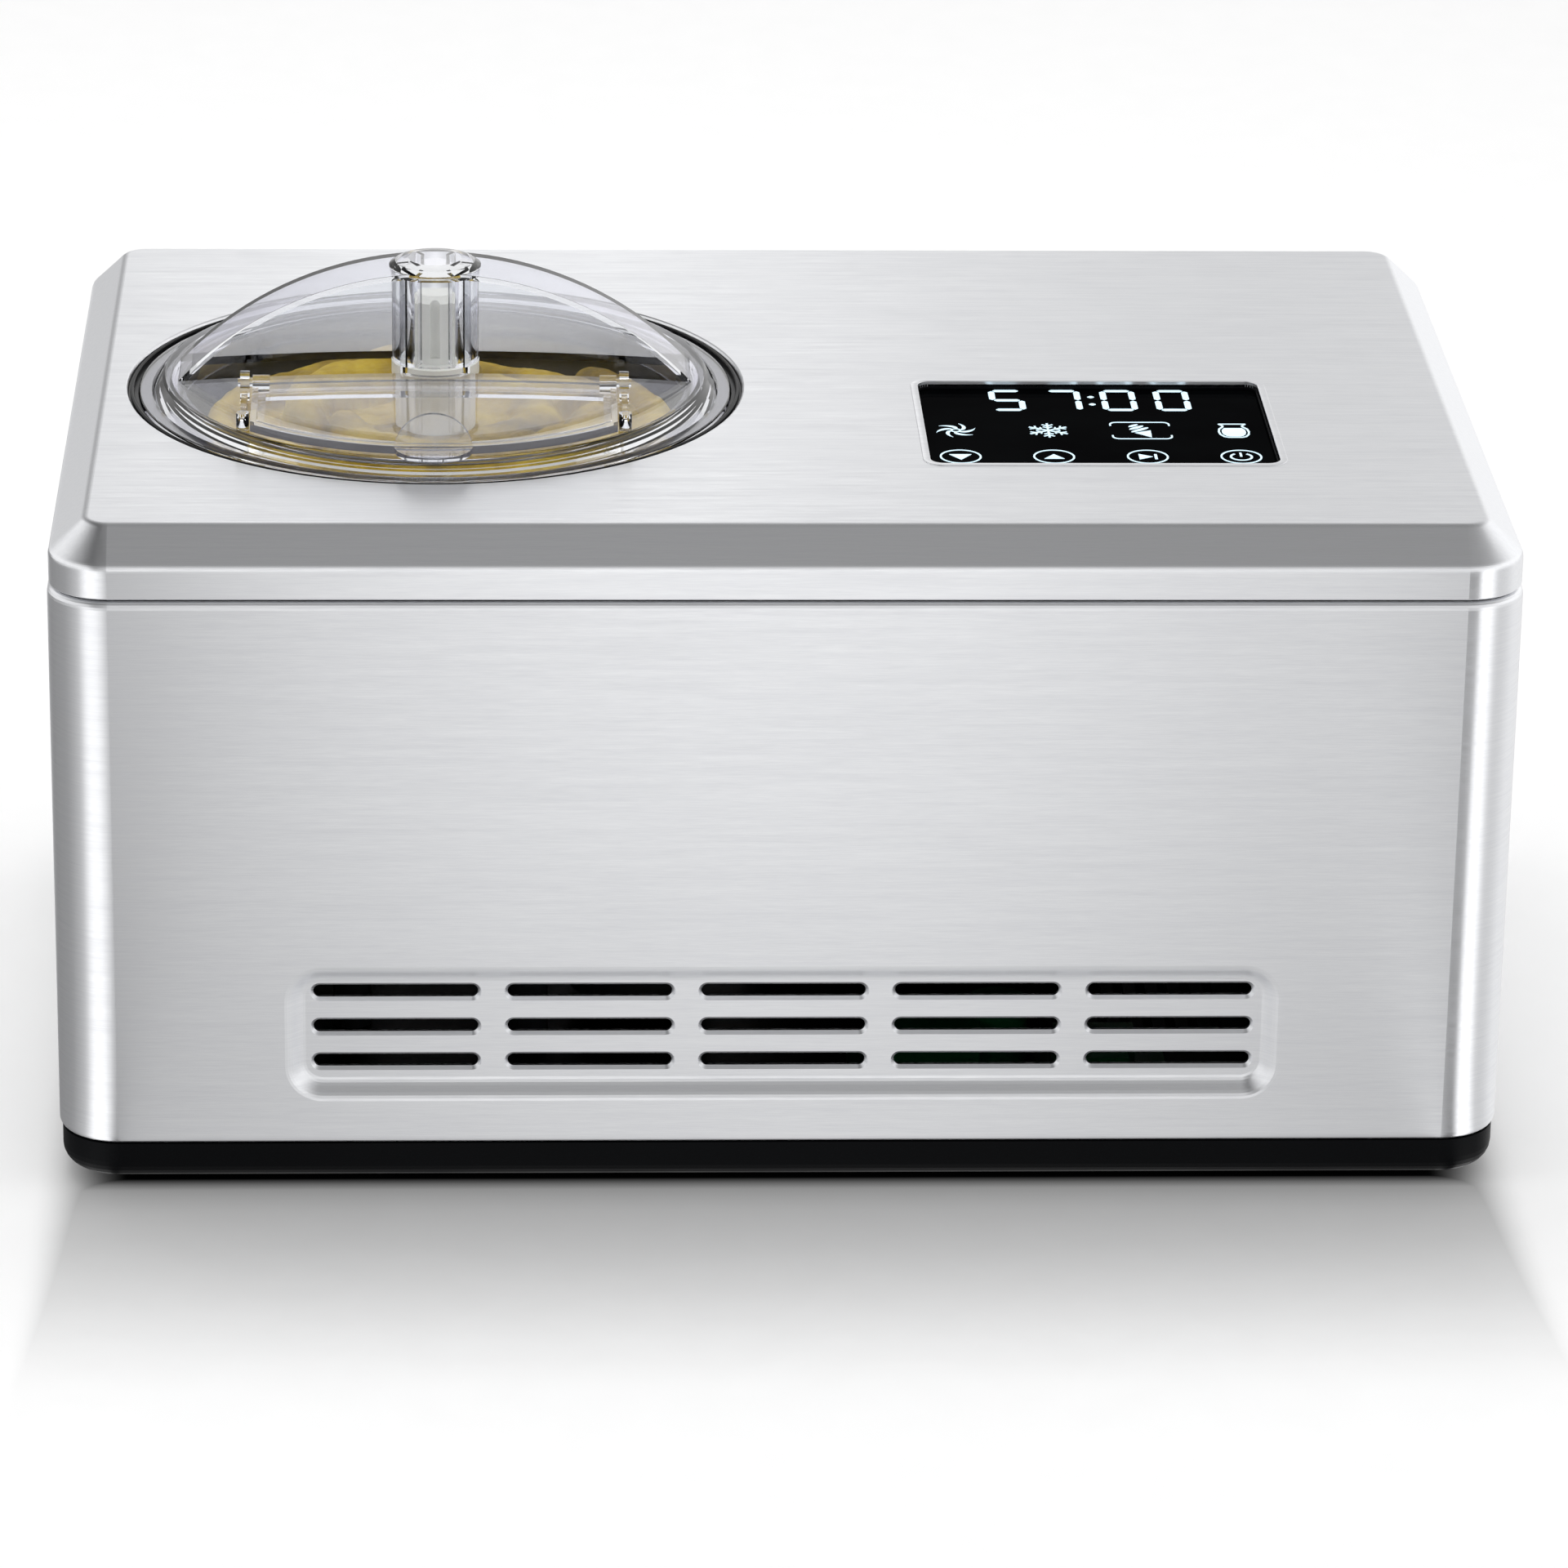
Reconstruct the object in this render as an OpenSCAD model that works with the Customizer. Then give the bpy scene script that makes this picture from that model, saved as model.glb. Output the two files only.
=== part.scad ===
// Compressor ice cream maker: a steel housing with a removable bowl on the left,
// a clear lid with an arched grip and a refill flap, and a touch panel on the right.
// Origin: centre of the footprint on the table. +X right, +Y back, +Z up. Millimetres.

/* [Housing] */
// Width of the housing, left to right
body_w = 425; // [405:5:465]
// Depth of the housing, front to back
body_d = 285; // [275:5:320]
// Height of the seam between the shell and the top cover, above the table
seam_h = 184; // [180:2:206]
// Radius of the four upright corners
corner_r = 18; // [15:1:24]
// Sheet thickness of the steel shell
shell_t = 1; // [0.8:0.1:1.4]
// Outer radius of the bends along the shell's top and bottom edges
shell_bend = 2.5; // [2:0.25:4]
// Inset of the top cover's rim from the face of the shell
cover_inset = 0.5; // [0.2:0.1:1.2]
// Sheet thickness of the top cover
cover_t = 1.2; // [1:0.1:1.6]
// Dark gap along the seam between the shell and the cover
seam_gap = 0.5; // [0.3:0.1:0.8]
// Height of the cover's upright rim
rim_h = 9.5; // [8:0.5:14]
// Rise of the cover's sloped edge
slope_h = 10; // [8:0.5:13]
// Run of the cover's sloped edge
slope_in = 10.5; // [9:0.5:13]
// Outer radius of the bends in the cover
cover_bend = 3; // [2.5:0.25:4]

/* [Base] */
// Height of the black base band
base_h = 12; // [10:1:16]
// Inset of the base from the face of the shell
base_inset = 0.8; // [0.4:0.1:1.5]
// Wall thickness of the base tray
base_t = 2.5; // [2:0.25:3.5]
// Radius of the rounded lower edge of the base
base_round = 6; // [4:0.5:8]
// Height that the feet lift the base off the table
foot_drop = 3; // [2:0.5:5]
// Radius of one foot
foot_r = 12; // [9:1:15]
// Distance of the feet from the housing's sides
foot_in = 34; // [30:1:45]

/* [Vents] */
// Length of the pressed vent panel
vent_w = 291; // [285:1:310]
// Height of the pressed vent panel
vent_h = 42.5; // [40:0.5:46]
// Depth of the pressed vent panel
vent_depth = 4; // [3:0.25:5]
// Width of the sloped border of the vent panel
vent_slope = 6; // [5:0.5:7]
// Height of the vent panel's centre above the table
vent_z = 50; // [46:1:60]
// Length of one slot
slot_l = 48; // [40:1:50]
// Height of one slot
slot_h = 3.8; // [3:0.1:4.5]
// Distance between slot centres along a row
slot_pitch_x = 56.6; // [55:0.2:58]
// Distance between slot rows
slot_pitch_z = 11; // [10.6:0.2:11.6]
// Height of the middle row of slots above the panel's centre
slot_up = 0.8; // [0:0.1:1.2]
// Depth of the turned-in lip round each slot
slot_lip = 1.4; // [1:0.1:2]

/* [Bowl and well] */
// Distance of the bowl's axis from the housing's left side
bowl_side = 110.5; // [108:0.5:116]
// Place of the bowl's axis, to the front of the centre
bowl_y = 4.5; // [0:0.5:10]
// Radius of the round hole in the top cover
mouth_r = 92.4; // [92:0.2:96]
// Outer radius of the removable bowl
bowl_r = 80; // [76:0.5:82]
// Depth of the bowl below its rim
bowl_depth = 132; // [120:1:136]
// Wall thickness of the bowl
bowl_t = 1.5; // [1.2:0.1:2]
// Outer radius of the cone at the bowl's centre
cone_r = 15; // [14:0.5:17]
// Height of the cone above the bowl's floor
cone_h = 42; // [36:1:48]
// Gap between the bowl and the well
well_gap = 1.2; // [1:0.1:2]
// Wall thickness of the well
well_t = 1.2; // [1:0.1:1.6]
// Radius of the drive shaft
shaft_r = 5; // [4:0.25:6]

/* [Lid] */
// Wall thickness of the clear lid
lid_t = 2; // [1.8:0.1:2.4]
// Outer radius of the lid's flange
lid_r = 89; // [88.4:0.2:89.6]
// Width of the lid's flat flange
flange_w = 3.8; // [3.2:0.2:4.4]
// Height of the lid's shoulder above the top cover
shoulder_h = 4; // [3:0.5:6]
// Rise of the lid's shallow dome from shoulder to centre
dome_rise = 3; // [2:0.5:5]
// Height of the grip's crown above the top cover
grip_h = 38; // [34:0.5:42]
// Radius of the grip's arch seen from the front
grip_arch_r = 104.5; // [102:0.5:112]
// Thickness of the grip, front to back
grip_w = 23; // [20:0.5:26]
// Outer radius of the tube in the lid's middle
tube_r = 13; // [12.6:0.2:14]
// Wall thickness of the tube
tube_t = 2.2; // [1.8:0.1:2.6]
// Half width of the refill flap
flap_half = 54; // [50:1:56]
// Distance of the flap's hinge axis in front of the lid's centre
hinge_back = 27; // [25:0.5:30]
// Radius of the flap's hinge pins
pin_r = 1.3; // [1:0.1:1.6]
// Radius of the flap's round finger tab
tab_r = 11.5; // [9:0.5:13]
// Outer radius of the flap's hinge barrels
barrel_r = 2.4; // [2:0.1:2.8]

/* [Frozen mix] */
// Depth of the mix's highest fold below the bowl's rim
mix_drop = 5; // [4.5:0.5:40]
// Gap between the mix and the bowl's wall
mix_gap = 0.7; // [0.4:0.1:1.5]
// Radius of the folds that the paddle leaves in the mix
fold_r = 7; // [5:0.5:9]

/* [Control panel] */
// Width of the display window
panel_w = 103; // [96:1:112]
// Depth of the display window, front to back
panel_d = 76; // [70:1:80]
// Place of the window's centre, to the right of the centre
panel_x = 95; // [92:1:104]
// Place of the window's centre, to the front of the centre
panel_y = 40.5; // [36:0.5:46]
// Corner radius of the window
panel_r = 4; // [3:0.5:6]
// Depth of the glass below the top cover's face
glass_drop = 2.4; // [1.8:0.2:3.5]
// Thickness of the display glass
glass_t = 2; // [1.6:0.2:3]

/* [Machinery] */
// Radius of the compressor's shell
compressor_r = 50; // [44:1:52]
// Height of the compressor above its feet
compressor_h = 118; // [100:2:130]
// Radius of the fan blades
fan_r = 50; // [44:1:52]
// Number of fan blades
fan_blades = 7; // [5:1:9]
// Number of condenser fins
fin_count = 24; // [16:1:30]
// Radius of the refrigerant tube
pipe_r = 2.6; // [2.2:0.1:3.2]
// Turns of the evaporator coil
coil_turns = 6; // [4:1:8]

/* [Hidden] */

$fn = 96;
eps = 0.01;
slack = 0.3;           // gap between pieces that lie on each other
run_gap = 0.05;        // radial clearance of a shaft or pin that turns
steel = [0.78, 0.79, 0.81];
black = [0.08, 0.08, 0.09];
clear = [0.85, 0.9, 0.95, 0.35];
milky = [0.93, 0.93, 0.9];
copper = [0.72, 0.43, 0.25];
alloy = [0.7, 0.71, 0.73];

z_base = foot_drop;                         // underside of the base
z_band = foot_drop + base_h;                // top of the base band, bottom of the shell
z_floor = z_base + base_t;                  // inside floor of the base
z_rim = seam_h + seam_gap + rim_h;          // where the cover starts to slope
z_top = z_rim + slope_h;                    // flat top of the cover
bowl_x = body_w / 2 - bowl_side;            // place of the bowl's axis, left of the centre
bowl_c = [-bowl_x, -bowl_y, 0];             // axis of the bowl
seal_t = 4.6;                               // depth of the seal's shelf below the top cover
z_shelf = z_top - seal_t;                   // shelf of the seal that the bowl's rim lies on
seal_r = mouth_r - 0.2;                     // outer radius of the seal
seal_in = lid_r - 5.5;                      // inner radius of the seal
seal_floor = 3.2;                           // thickness of the seal below its shelf
z_seal = z_shelf - seal_floor;              // underside of the seal
rim_t = 1.6;                                // thickness of the bowl's turned rim
z_well_top = z_seal - slack;                // top face of the well's flange
z_bowl_rim = z_shelf + slack / 2 + rim_t;   // top face of the bowl's rim
z_bowl_floor = z_bowl_rim - bowl_depth;     // underside of the bowl's floor
well_r = bowl_r + well_gap;                 // inner radius of the well
z_well_floor = z_bowl_floor - slack - well_t; // underside of the well's floor
coil_ring_r = well_r + well_t + pipe_r + 0.9; // radius of the coil's centre line
foam_bore = coil_ring_r + pipe_r + slack;   // radius of the hollow in the insulation
foam_half = 100;                            // half width of the insulation block
foam_floor = 8;                             // thickness of the insulation under the well
z_foam = z_well_floor - slack - foam_floor; // underside of the insulation
motor_h = z_foam - z_floor - slack;         // height of the gear motor under the insulation
hem = shell_bend + 1.1;                     // reach of the shell's turned-in lower edge
bush_r = shaft_r + 4;                       // outer radius of the shaft's bush
shaft_flat = 1;                             // depth of the two flats on the shaft's top
z_shaft_top = z_bowl_floor + cone_h + 16;   // top of the drive shaft
z_flange = z_bowl_rim + slack;              // underside of the lid's flange
hub_r = 12;                                 // radius of the paddle's column
collar_r = 13.2;                            // radius of the paddle's collar under the lid's tube
spigot_r = 6.2;                             // radius of the paddle's spigot inside the lid's tube
spigot_h = 21;                              // height of the spigot above the collar
flat_w = body_w - 2 * slope_in;             // width of the cover's flat top
shoulder_r = lid_r - flange_w - 4;          // radius of the lid's shoulder
dome_r = (shoulder_r * shoulder_r + dome_rise * dome_rise) / (2 * dome_rise);
z_dome = z_top + shoulder_h + dome_rise;    // crown of the lid's dome
z_hinge = z_top + shoulder_h + dome_rise + 2; // height of the flap's hinge axis
z_tube = z_dome + 1.6;                      // lower end of the lid's tube
hole_half = flap_half - 4;                  // half width of the refill hole
comp_c = [foam_half - bowl_x + compressor_r + 4, body_d / 2 - 80.5, 0]; // axis of the compressor
fan_c = [0, -8, z_floor + 68];              // centre of the fan, whose place along X is the shroud's
cond_x = body_w / 2 - 40.5;                 // inner face of the condenser
cond_t = 22;                                // thickness of the condenser
cond_h = 124;                               // height of the condenser
cond_d = 176;                               // length of the condenser, front to back
gland_x = body_w / 2 - 38.5;                // place of the cord gland on the back
gland_z = 34;                               // height of the cord gland's axis
gland_bore = 3.7;                           // radius of the gland's bore

// ---- shapes that several pieces share ----

// Points of an arc about centre c, from angle a0 to a1 in n steps.
function arc(c, r, a0, a1, n) = [for (i = [0:n]) let (a = a0 + (a1 - a0) * i / n) c + r * [cos(a), sin(a)]];
function unit(v) = v / norm(v);
function tangent(p, i) = unit(p[min(i + 1, len(p) - 1)] - p[max(i - 1, 0)]);

// A tube of radius r along the points of path, with n sides.
module sweep(path, r, n, up) {
    rings = len(path);
    points = [for (i = [0:rings - 1]) let (t = tangent(path, i), u = unit(cross(t, up)), v = cross(t, u))
        for (k = [0:n - 1]) path[i] + r * (cos(360 * k / n) * u + sin(360 * k / n) * v)];
    sides = [for (i = [0:rings - 2]) for (k = [0:n - 1])
        [i * n + k, i * n + (k + 1) % n, (i + 1) * n + (k + 1) % n, (i + 1) * n + k]];
    ends = [[for (k = [n - 1:-1:0]) k], [for (k = [0:n - 1]) (rings - 1) * n + k]];
    polyhedron(points, concat(sides, ends));
}

// Sweeps a profile round a rectangle w by d whose corners have radius r.
// The profile's x runs outward from the corner's centre, and its y is the height.
module frame_sweep(w, d, r) {
    for (k = [0:3]) {
        across = k % 2 == 0 ? w : d;
        along = (k % 2 == 0 ? d : w) - 2 * r;
        rotate(90 * k) translate([across / 2 - r, along / 2, 0]) {
            rotate_extrude(angle = 90) children();
            rotate([90, 0, 0]) linear_extrude(along) children();
        }
    }
}

// A solid whose sides follow a profile, from height z0 to z1 at the middle.
module plug(w, d, r, z0, z1) {
    frame_sweep(w, d, r) children();
    translate([r - w / 2, r - d / 2, z0]) cube([w - 2 * r, d - 2 * r, z1 - z0]);
}

// A flat outline with round corners.
module rounded(w, d, r) {
    square([w - 2 * r, d], center = true);
    square([w, d - 2 * r], center = true);
    for (x = [-1, 1], y = [-1, 1]) translate([x * (w / 2 - r), y * (d / 2 - r)]) circle(r);
}

// A slot's outline: a bar with round ends.
module stadium(l, h) {
    square([l - h, h], center = true);
    for (s = [-1, 1]) translate([s * (l - h) / 2, 0]) circle(d = h, $fn = 24);
}

// A ring about the Z axis from a profile of [radius, height] points.
module ring(points) {
    rotate_extrude() polygon(points);
}

module at_feet() {
    for (x = [-1, 1], y = [-1, 1]) translate([x * (body_w / 2 - foot_in), y * (body_d / 2 - foot_in), 0]) children();
}

// ---- base ----

screw_in = foot_in + 24;                    // distance of the base screws from the sides

module at_screws() {
    for (x = [-1, 0, 1], y = [-1, 1])
        translate([x * (body_w / 2 - screw_in), y * (body_d / 2 - foot_in + 12), 0]) children();
}

module base_tray() {
    w = body_w - 2 * base_inset;
    d = body_d - 2 * base_inset;
    r = corner_r - base_inset;
    lip = hem - base_inset + slack;
    outer = concat([[0, z_base]], arc([r - base_round, z_base + base_round], base_round, -90, 0, 6),
        [[r, z_band - slack / 2], [r - lip, z_band - slack / 2], [r - lip, z_band + 6], [0, z_band + 6]]);
    inner_r = r - base_t - lip;
    color(black) difference() {
        plug(w, d, r, z_base, z_band + 6) polygon(outer);
        translate([0, 0, z_floor]) linear_extrude(base_h + 10)
            rounded(w - 2 * (base_t + lip), d - 2 * (base_t + lip), inner_r);
        at_feet() translate([0, 0, z_base - eps]) cylinder(r = 4.2, h = base_t + 2 * eps);
        at_screws() translate([0, 0, z_base - eps]) {
            cylinder(r = 4, h = 1.2 + eps);
            cylinder(r = 1.9, h = base_t + 2 * eps);
        }
        for (i = [-4:4]) translate([body_w * 0.26 + i * 7, -20, z_base - eps])
            linear_extrude(base_t + 2 * eps) rotate(90) stadium(60, 3);
    }
}

module feet() {
    color([0.12, 0.12, 0.12]) at_feet() {
        ring([[0, 0], [foot_r - 1.5, 0], [foot_r, 1.2], [foot_r, z_base - slack / 3], [4, z_base - slack / 3],
            [4, z_floor + 0.2], [5, z_floor + 0.2], [4, z_floor + 2.4], [0, z_floor + 2.4]]);
    }
}

module base_screws() {
    color(alloy) at_screws() translate([0, 0, z_base]) difference() {
        union() {
            translate([0, 0, 0.1]) cylinder(r = 3.6, h = 1);
            translate([0, 0, 1]) cylinder(r = 1.7, h = base_t + 5);
        }
        for (a = [0, 90]) rotate(a) cube([4, 0.9, 1], center = true);
    }
}

// ---- shell, with the pressed vent panels ----

module slot_grid() {
    for (i = [-2:2], j = [-1:1]) translate([i * slot_pitch_x, slot_up + j * slot_pitch_z, 0]) children();
}

// The slots' turned-in lips, which stand behind the panel. +Z points out of the housing.
module vent_lips() {
    slot_grid() translate([0, 0, -vent_depth - shell_t - slot_lip])
        linear_extrude(shell_t + slot_lip - 0.2) stadium(slot_l + 2 * slot_lip, slot_h + 2 * slot_lip);
}

// One slot: straight at the back and flared at the face of the panel.
module slot_cut() {
    flare = slot_lip * 0.8;
    half = (slot_l - slot_h) / 2;
    translate([0, 0, -slot_lip - shell_t - 1]) linear_extrude(slot_lip + shell_t + 2) stadium(slot_l, slot_h);
    translate([0, 0, -flare]) {
        for (s = [-1, 1]) translate([s * half, 0, 0])
            cylinder(h = flare + 0.2, r1 = slot_h / 2 - eps, r2 = slot_h / 2 + flare, $fn = 24);
        rotate([90, 0, 90]) translate([0, 0, -half]) linear_extrude(2 * half)
            polygon([[-slot_h / 2 + eps, 0], [slot_h / 2 - eps, 0],
                [slot_h / 2 + flare, flare + 0.2], [-slot_h / 2 - flare, flare + 0.2]]);
    }
}

// The side of the pressing, from the panel's floor out to the face of the shell.
function press_side(r, grow) = let (bend = vent_slope / 4, h = vent_depth, f = vent_slope)
    concat([[0, -h], [r - f + grow, -h]],
        [for (i = [1:7]) let (t = i / 8) [r - f + grow + f * t, -h + h * (3 * t * t - 2 * t * t * t)]],
        [[r + grow, 0], [r + grow + bend, 0.4], [0, 0.4]]);

module vent_press(grow, depth) {
    r = 11;
    translate([0, 0, -depth]) plug(vent_w, vent_h, r, -vent_depth, 0.4) polygon(press_side(r, grow));
}

module on_front() { translate([0, -body_d / 2, vent_z]) rotate([90, 0, 0]) children(); }
module on_back() { translate([0, body_d / 2, vent_z]) rotate([90, 0, 180]) children(); }

module outer_shell() {
    r = corner_r;
    b = shell_bend;
    i = shell_bend - shell_t;
    wall = concat([[r - hem, z_band]], arc([r - b, z_band + b], b, -90, 0, 5), arc([r - b, seam_h - b], b, 0, 90, 5),
        [[r - 9, seam_h], [r - 9, seam_h - shell_t]], arc([r - b, seam_h - b], i, 90, 0, 5),
        arc([r - b, z_band + b], i, 0, -90, 5), [[r - hem, z_band + shell_t]]);
    color(steel) difference() {
        union() {
            frame_sweep(body_w, body_d, r) polygon(wall);
            on_front() { vent_back(); vent_lips(); }
            on_back() { vent_back(); vent_lips(); }
        }
        on_front() vent_cut();
        on_back() vent_cut();
        translate([gland_x, body_d / 2, gland_z]) rotate([90, 0, 0])
            cylinder(r = gland_bore + 3.8, h = 20, center = true);
    }
}

// Back of the pressing: the same form, one sheet thicker.
module vent_back() {
    intersection() {
        vent_press(shell_t * 1.4, shell_t);
        translate([-vent_w, -vent_h, -vent_depth * 2]) cube([2 * vent_w, 2 * vent_h, vent_depth * 2 - 0.3]);
    }
}

module vent_cut() {
    vent_press(0, 0);
    slot_grid() translate([0, 0, -vent_depth]) slot_cut();
}

// ---- top cover ----

module top_cover() {
    w = body_w - 2 * cover_inset;
    d = body_d - 2 * cover_inset;
    r = corner_r - cover_inset;
    b = cover_bend;
    slope = atan2(slope_in, slope_h);
    c1 = [r - b, z_rim - b * tan(slope / 2)];
    c2 = [r - slope_in - b * tan(45 - slope / 2), z_top - b];
    z0 = seam_h + seam_gap;
    side = concat([[r - 0.4, z0], [r, z0 + 0.4]], arc(c1, b, 0, slope, 5), arc(c2, b, slope, 90, 5),
        [[0, z_top], [0, z_top - cover_t]], arc(c2, b - cover_t, 90, slope, 5), arc(c1, b - cover_t, slope, 0, 5),
        [[r - cover_t, z0]]);
    color(steel) difference() {
        union() {
            frame_sweep(w, d, r) polygon(side);
            translate([r - w / 2, r - d / 2, z_top - cover_t]) cube([w - 2 * r, d - 2 * r, cover_t]);
            translate(bowl_c) translate([0, 0, z_top - 5]) cylinder(r = mouth_r + cover_t, h = 5 - cover_t / 2);
            translate([panel_x, -panel_y, z_top - glass_drop + slack / 2]) linear_extrude(glass_drop - 0.5)
                rounded(panel_w + 2 * cover_t, panel_d + 2 * cover_t, panel_r + cover_t);
        }
        translate(bowl_c) {
            translate([0, 0, z_top - 6]) cylinder(r = mouth_r, h = 8);
            ring([[mouth_r - 1, z_top + 0.1], [mouth_r + 0.9, z_top + 0.1], [mouth_r + 0.35, z_top - 0.25],
                [mouth_r, z_top - 0.8], [mouth_r - 1, z_top - 0.8]]);
        }
        translate([panel_x, -panel_y, z_top - glass_drop - 1]) linear_extrude(glass_drop + 2)
            rounded(panel_w, panel_d, panel_r);
    }
}

// ---- bowl, well and drive ----

module bowl_seal() {
    color(black) translate(bowl_c)
        ring(concat([[seal_in, z_seal], [seal_r - 1.5, z_seal], [seal_r, z_seal + 1.5], [seal_r, z_top - 1.4],
            [seal_r - 0.5, z_top - 1.4]], arc([seal_r - 1.1, z_top - 0.9], 0.6, 0, 180, 6),
            [[seal_r - 1.7, z_top - 1.8], [lid_r + 0.3, z_top - 1.8], [lid_r + 0.3, z_shelf], [seal_in, z_shelf]]));
}

module cooling_well() {
    color(alloy) translate(bowl_c) difference() {
        union() {
            ring([[0, z_well_floor], [well_r + well_t, z_well_floor], [well_r + well_t, z_well_top - 1.2],
                [seal_r - 1, z_well_top - 1.2], [seal_r - 1, z_well_top], [well_r, z_well_top],
                [well_r, z_well_floor + well_t], [0, z_well_floor + well_t]]);
            translate([0, 0, z_well_floor]) cylinder(r = bush_r + 2.5, h = well_t + 10);
        }
        translate([0, 0, z_well_floor - 1]) cylinder(r = bush_r + run_gap, h = 20);
    }
}

module evaporator_coil() {
    steps = 26;
    z0 = z_well_floor + pipe_r + 4;
    rise = (z_well_top - 12 - z0 - pipe_r) / coil_turns;
    path = [for (i = [0:coil_turns * steps]) let (a = 360 * i / steps)
        [coil_ring_r * cos(a), coil_ring_r * sin(a), z0 + rise * i / steps]];
    color(copper) translate(bowl_c) sweep(path, pipe_r, 6, [0, 0, 1]);
}

module insulation() {
    top = z_well_top - 1.2 - slack;
    color([0.9, 0.86, 0.7]) translate(bowl_c) difference() {
        translate([0, 0, z_foam]) linear_extrude(top - z_foam) rounded(2 * foam_half, 2 * foam_half, 22);
        translate([0, 0, z_well_floor - slack]) cylinder(r = foam_bore, h = top);
        translate([0, 0, z_foam - 1]) cylinder(r = bush_r + slack, h = 20);
    }
}

// Motor can beside a flat gearbox, with four feet on the base.
module gear_motor() {
    box_h = 16;
    can_h = motor_h - slack;
    color([0.35, 0.36, 0.38]) translate(bowl_c) translate([0, 0, z_floor]) difference() {
        union() {
            translate([0, 0, motor_h - box_h]) linear_extrude(box_h - slack) {
                circle(r = 34);
                translate([34, 0]) square([68, 46], center = true);
                translate([68, 0]) circle(r = 23);
            }
            translate([62, 0, 4]) cylinder(r = 22, h = can_h - 8);
            translate([62, 0, 1.5]) cylinder(r = 8, h = 4);
            for (p = [[-26, -26], [-26, 26], [28, -38], [28, 38]]) translate([p[0], p[1], slack]) {
                cylinder(r = 6, h = motor_h - box_h + 4, $fn = 32);
                translate([0, 0, motor_h - box_h]) cylinder(r = 9, h = 6, $fn = 32);
            }
            translate([28, 0, motor_h - box_h + 3]) cube([18, 76, 6], center = true);
        }
        translate([0, 0, motor_h - box_h - 1]) cylinder(r = shaft_r + run_gap, h = box_h + 2);
    }
}

module shaft_bush() {
    z0 = z_foam;
    color([0.75, 0.6, 0.3]) translate(bowl_c) translate([0, 0, z0]) difference() {
        cylinder(r = bush_r, h = z_well_floor + well_t + 9 - z0);
        translate([0, 0, -1]) cylinder(r = shaft_r + run_gap, h = 60);
    }
}

module drive_shaft() {
    z0 = z_floor + motor_h - 16 - 3;
    color(alloy) translate(bowl_c) difference() {
        union() {
            translate([0, 0, z0]) cylinder(r = shaft_r, h = z_shaft_top - z0 - 1);
            translate([0, 0, z_shaft_top - 1]) cylinder(r1 = shaft_r, r2 = shaft_r - 1, h = 1);
            translate([0, 0, z0]) cylinder(r = shaft_r + 3, h = 2.4);
        }
        for (s = [-1, 1]) translate([s * (shaft_r + 5 - shaft_flat), 0, z_shaft_top]) cube([10, 30, 48], center = true);
    }
}

module bowl() {
    r = bowl_r;
    t = bowl_t;
    z0 = z_bowl_floor;
    z_cone = z0 + cone_h;
    bore = shaft_r + 1.5;
    color(alloy) translate(bowl_c)
        ring(concat([[bore, z_cone - 2], [cone_r - 4.6, z_cone - 2], [cone_r - 2, z0 + 2], [cone_r, z0]], arc([r - 6, z0 + 6], 6, -90, 0, 5),
            [[r, z_bowl_rim - rim_t], [lid_r - 0.6, z_bowl_rim - rim_t], [lid_r - 0.2, z_bowl_rim - rim_t / 2],
            [lid_r - 0.6, z_bowl_rim], [r - t, z_bowl_rim]], arc([r - 6, z0 + 6], 6 - t, 0, -90, 5),
            [[cone_r + 2, z0 + t], [cone_r, z0 + t + 2], [cone_r - 3, z_cone], [bore, z_cone]]));
}

// ---- paddle ----

module paddle() {
    r = bowl_r - bowl_t - 1;                // reach of the scraping edges
    z0 = z_bowl_floor + bowl_t + 1;         // lower edge of the blades
    z_cone = z_bowl_floor + cone_h;
    z_blade = z_bowl_rim - 34;              // top of the blades
    z_collar = z_tube - 0.5;                // top of the collar
    color(milky) translate(bowl_c) difference() {
        union() {
            translate([0, 0, z_cone + 1]) cylinder(r = hub_r, h = z_collar - z_cone - 3);
            translate([0, 0, z_collar - 4]) cylinder(r = collar_r, h = 4);
            translate([0, 0, z_collar]) cylinder(r = spigot_r, h = spigot_h - 2);
            translate([0, 0, z_collar + spigot_h - 2]) cylinder(r1 = spigot_r, r2 = spigot_r - 2, h = 2);
            translate([0, 0, z0]) difference() {
                cylinder(r = cone_r + 4.5, h = z_cone + 1 - z0);
                translate([0, 0, -1]) cylinder(r1 = cone_r + 1.6, r2 = cone_r - 1.6, h = z_cone + 2 - z0);
            }
            for (s = [0, 180]) rotate(s) paddle_blade(r, z0, z_blade, s);
        }
        translate([0, 0, z_cone - 1]) intersection() {
            cylinder(r = shaft_r + 0.25, h = z_shaft_top + 1.5 - z_cone);
            cube([2 * (shaft_r - shaft_flat) + 0.5, 40, 200], center = true);
        }
        for (k = [0:5]) rotate(60 * k + 30) translate([spigot_r, 0, z_collar + 2]) cylinder(r = 1.1, h = 30, $fn = 24);
    }
}

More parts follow.
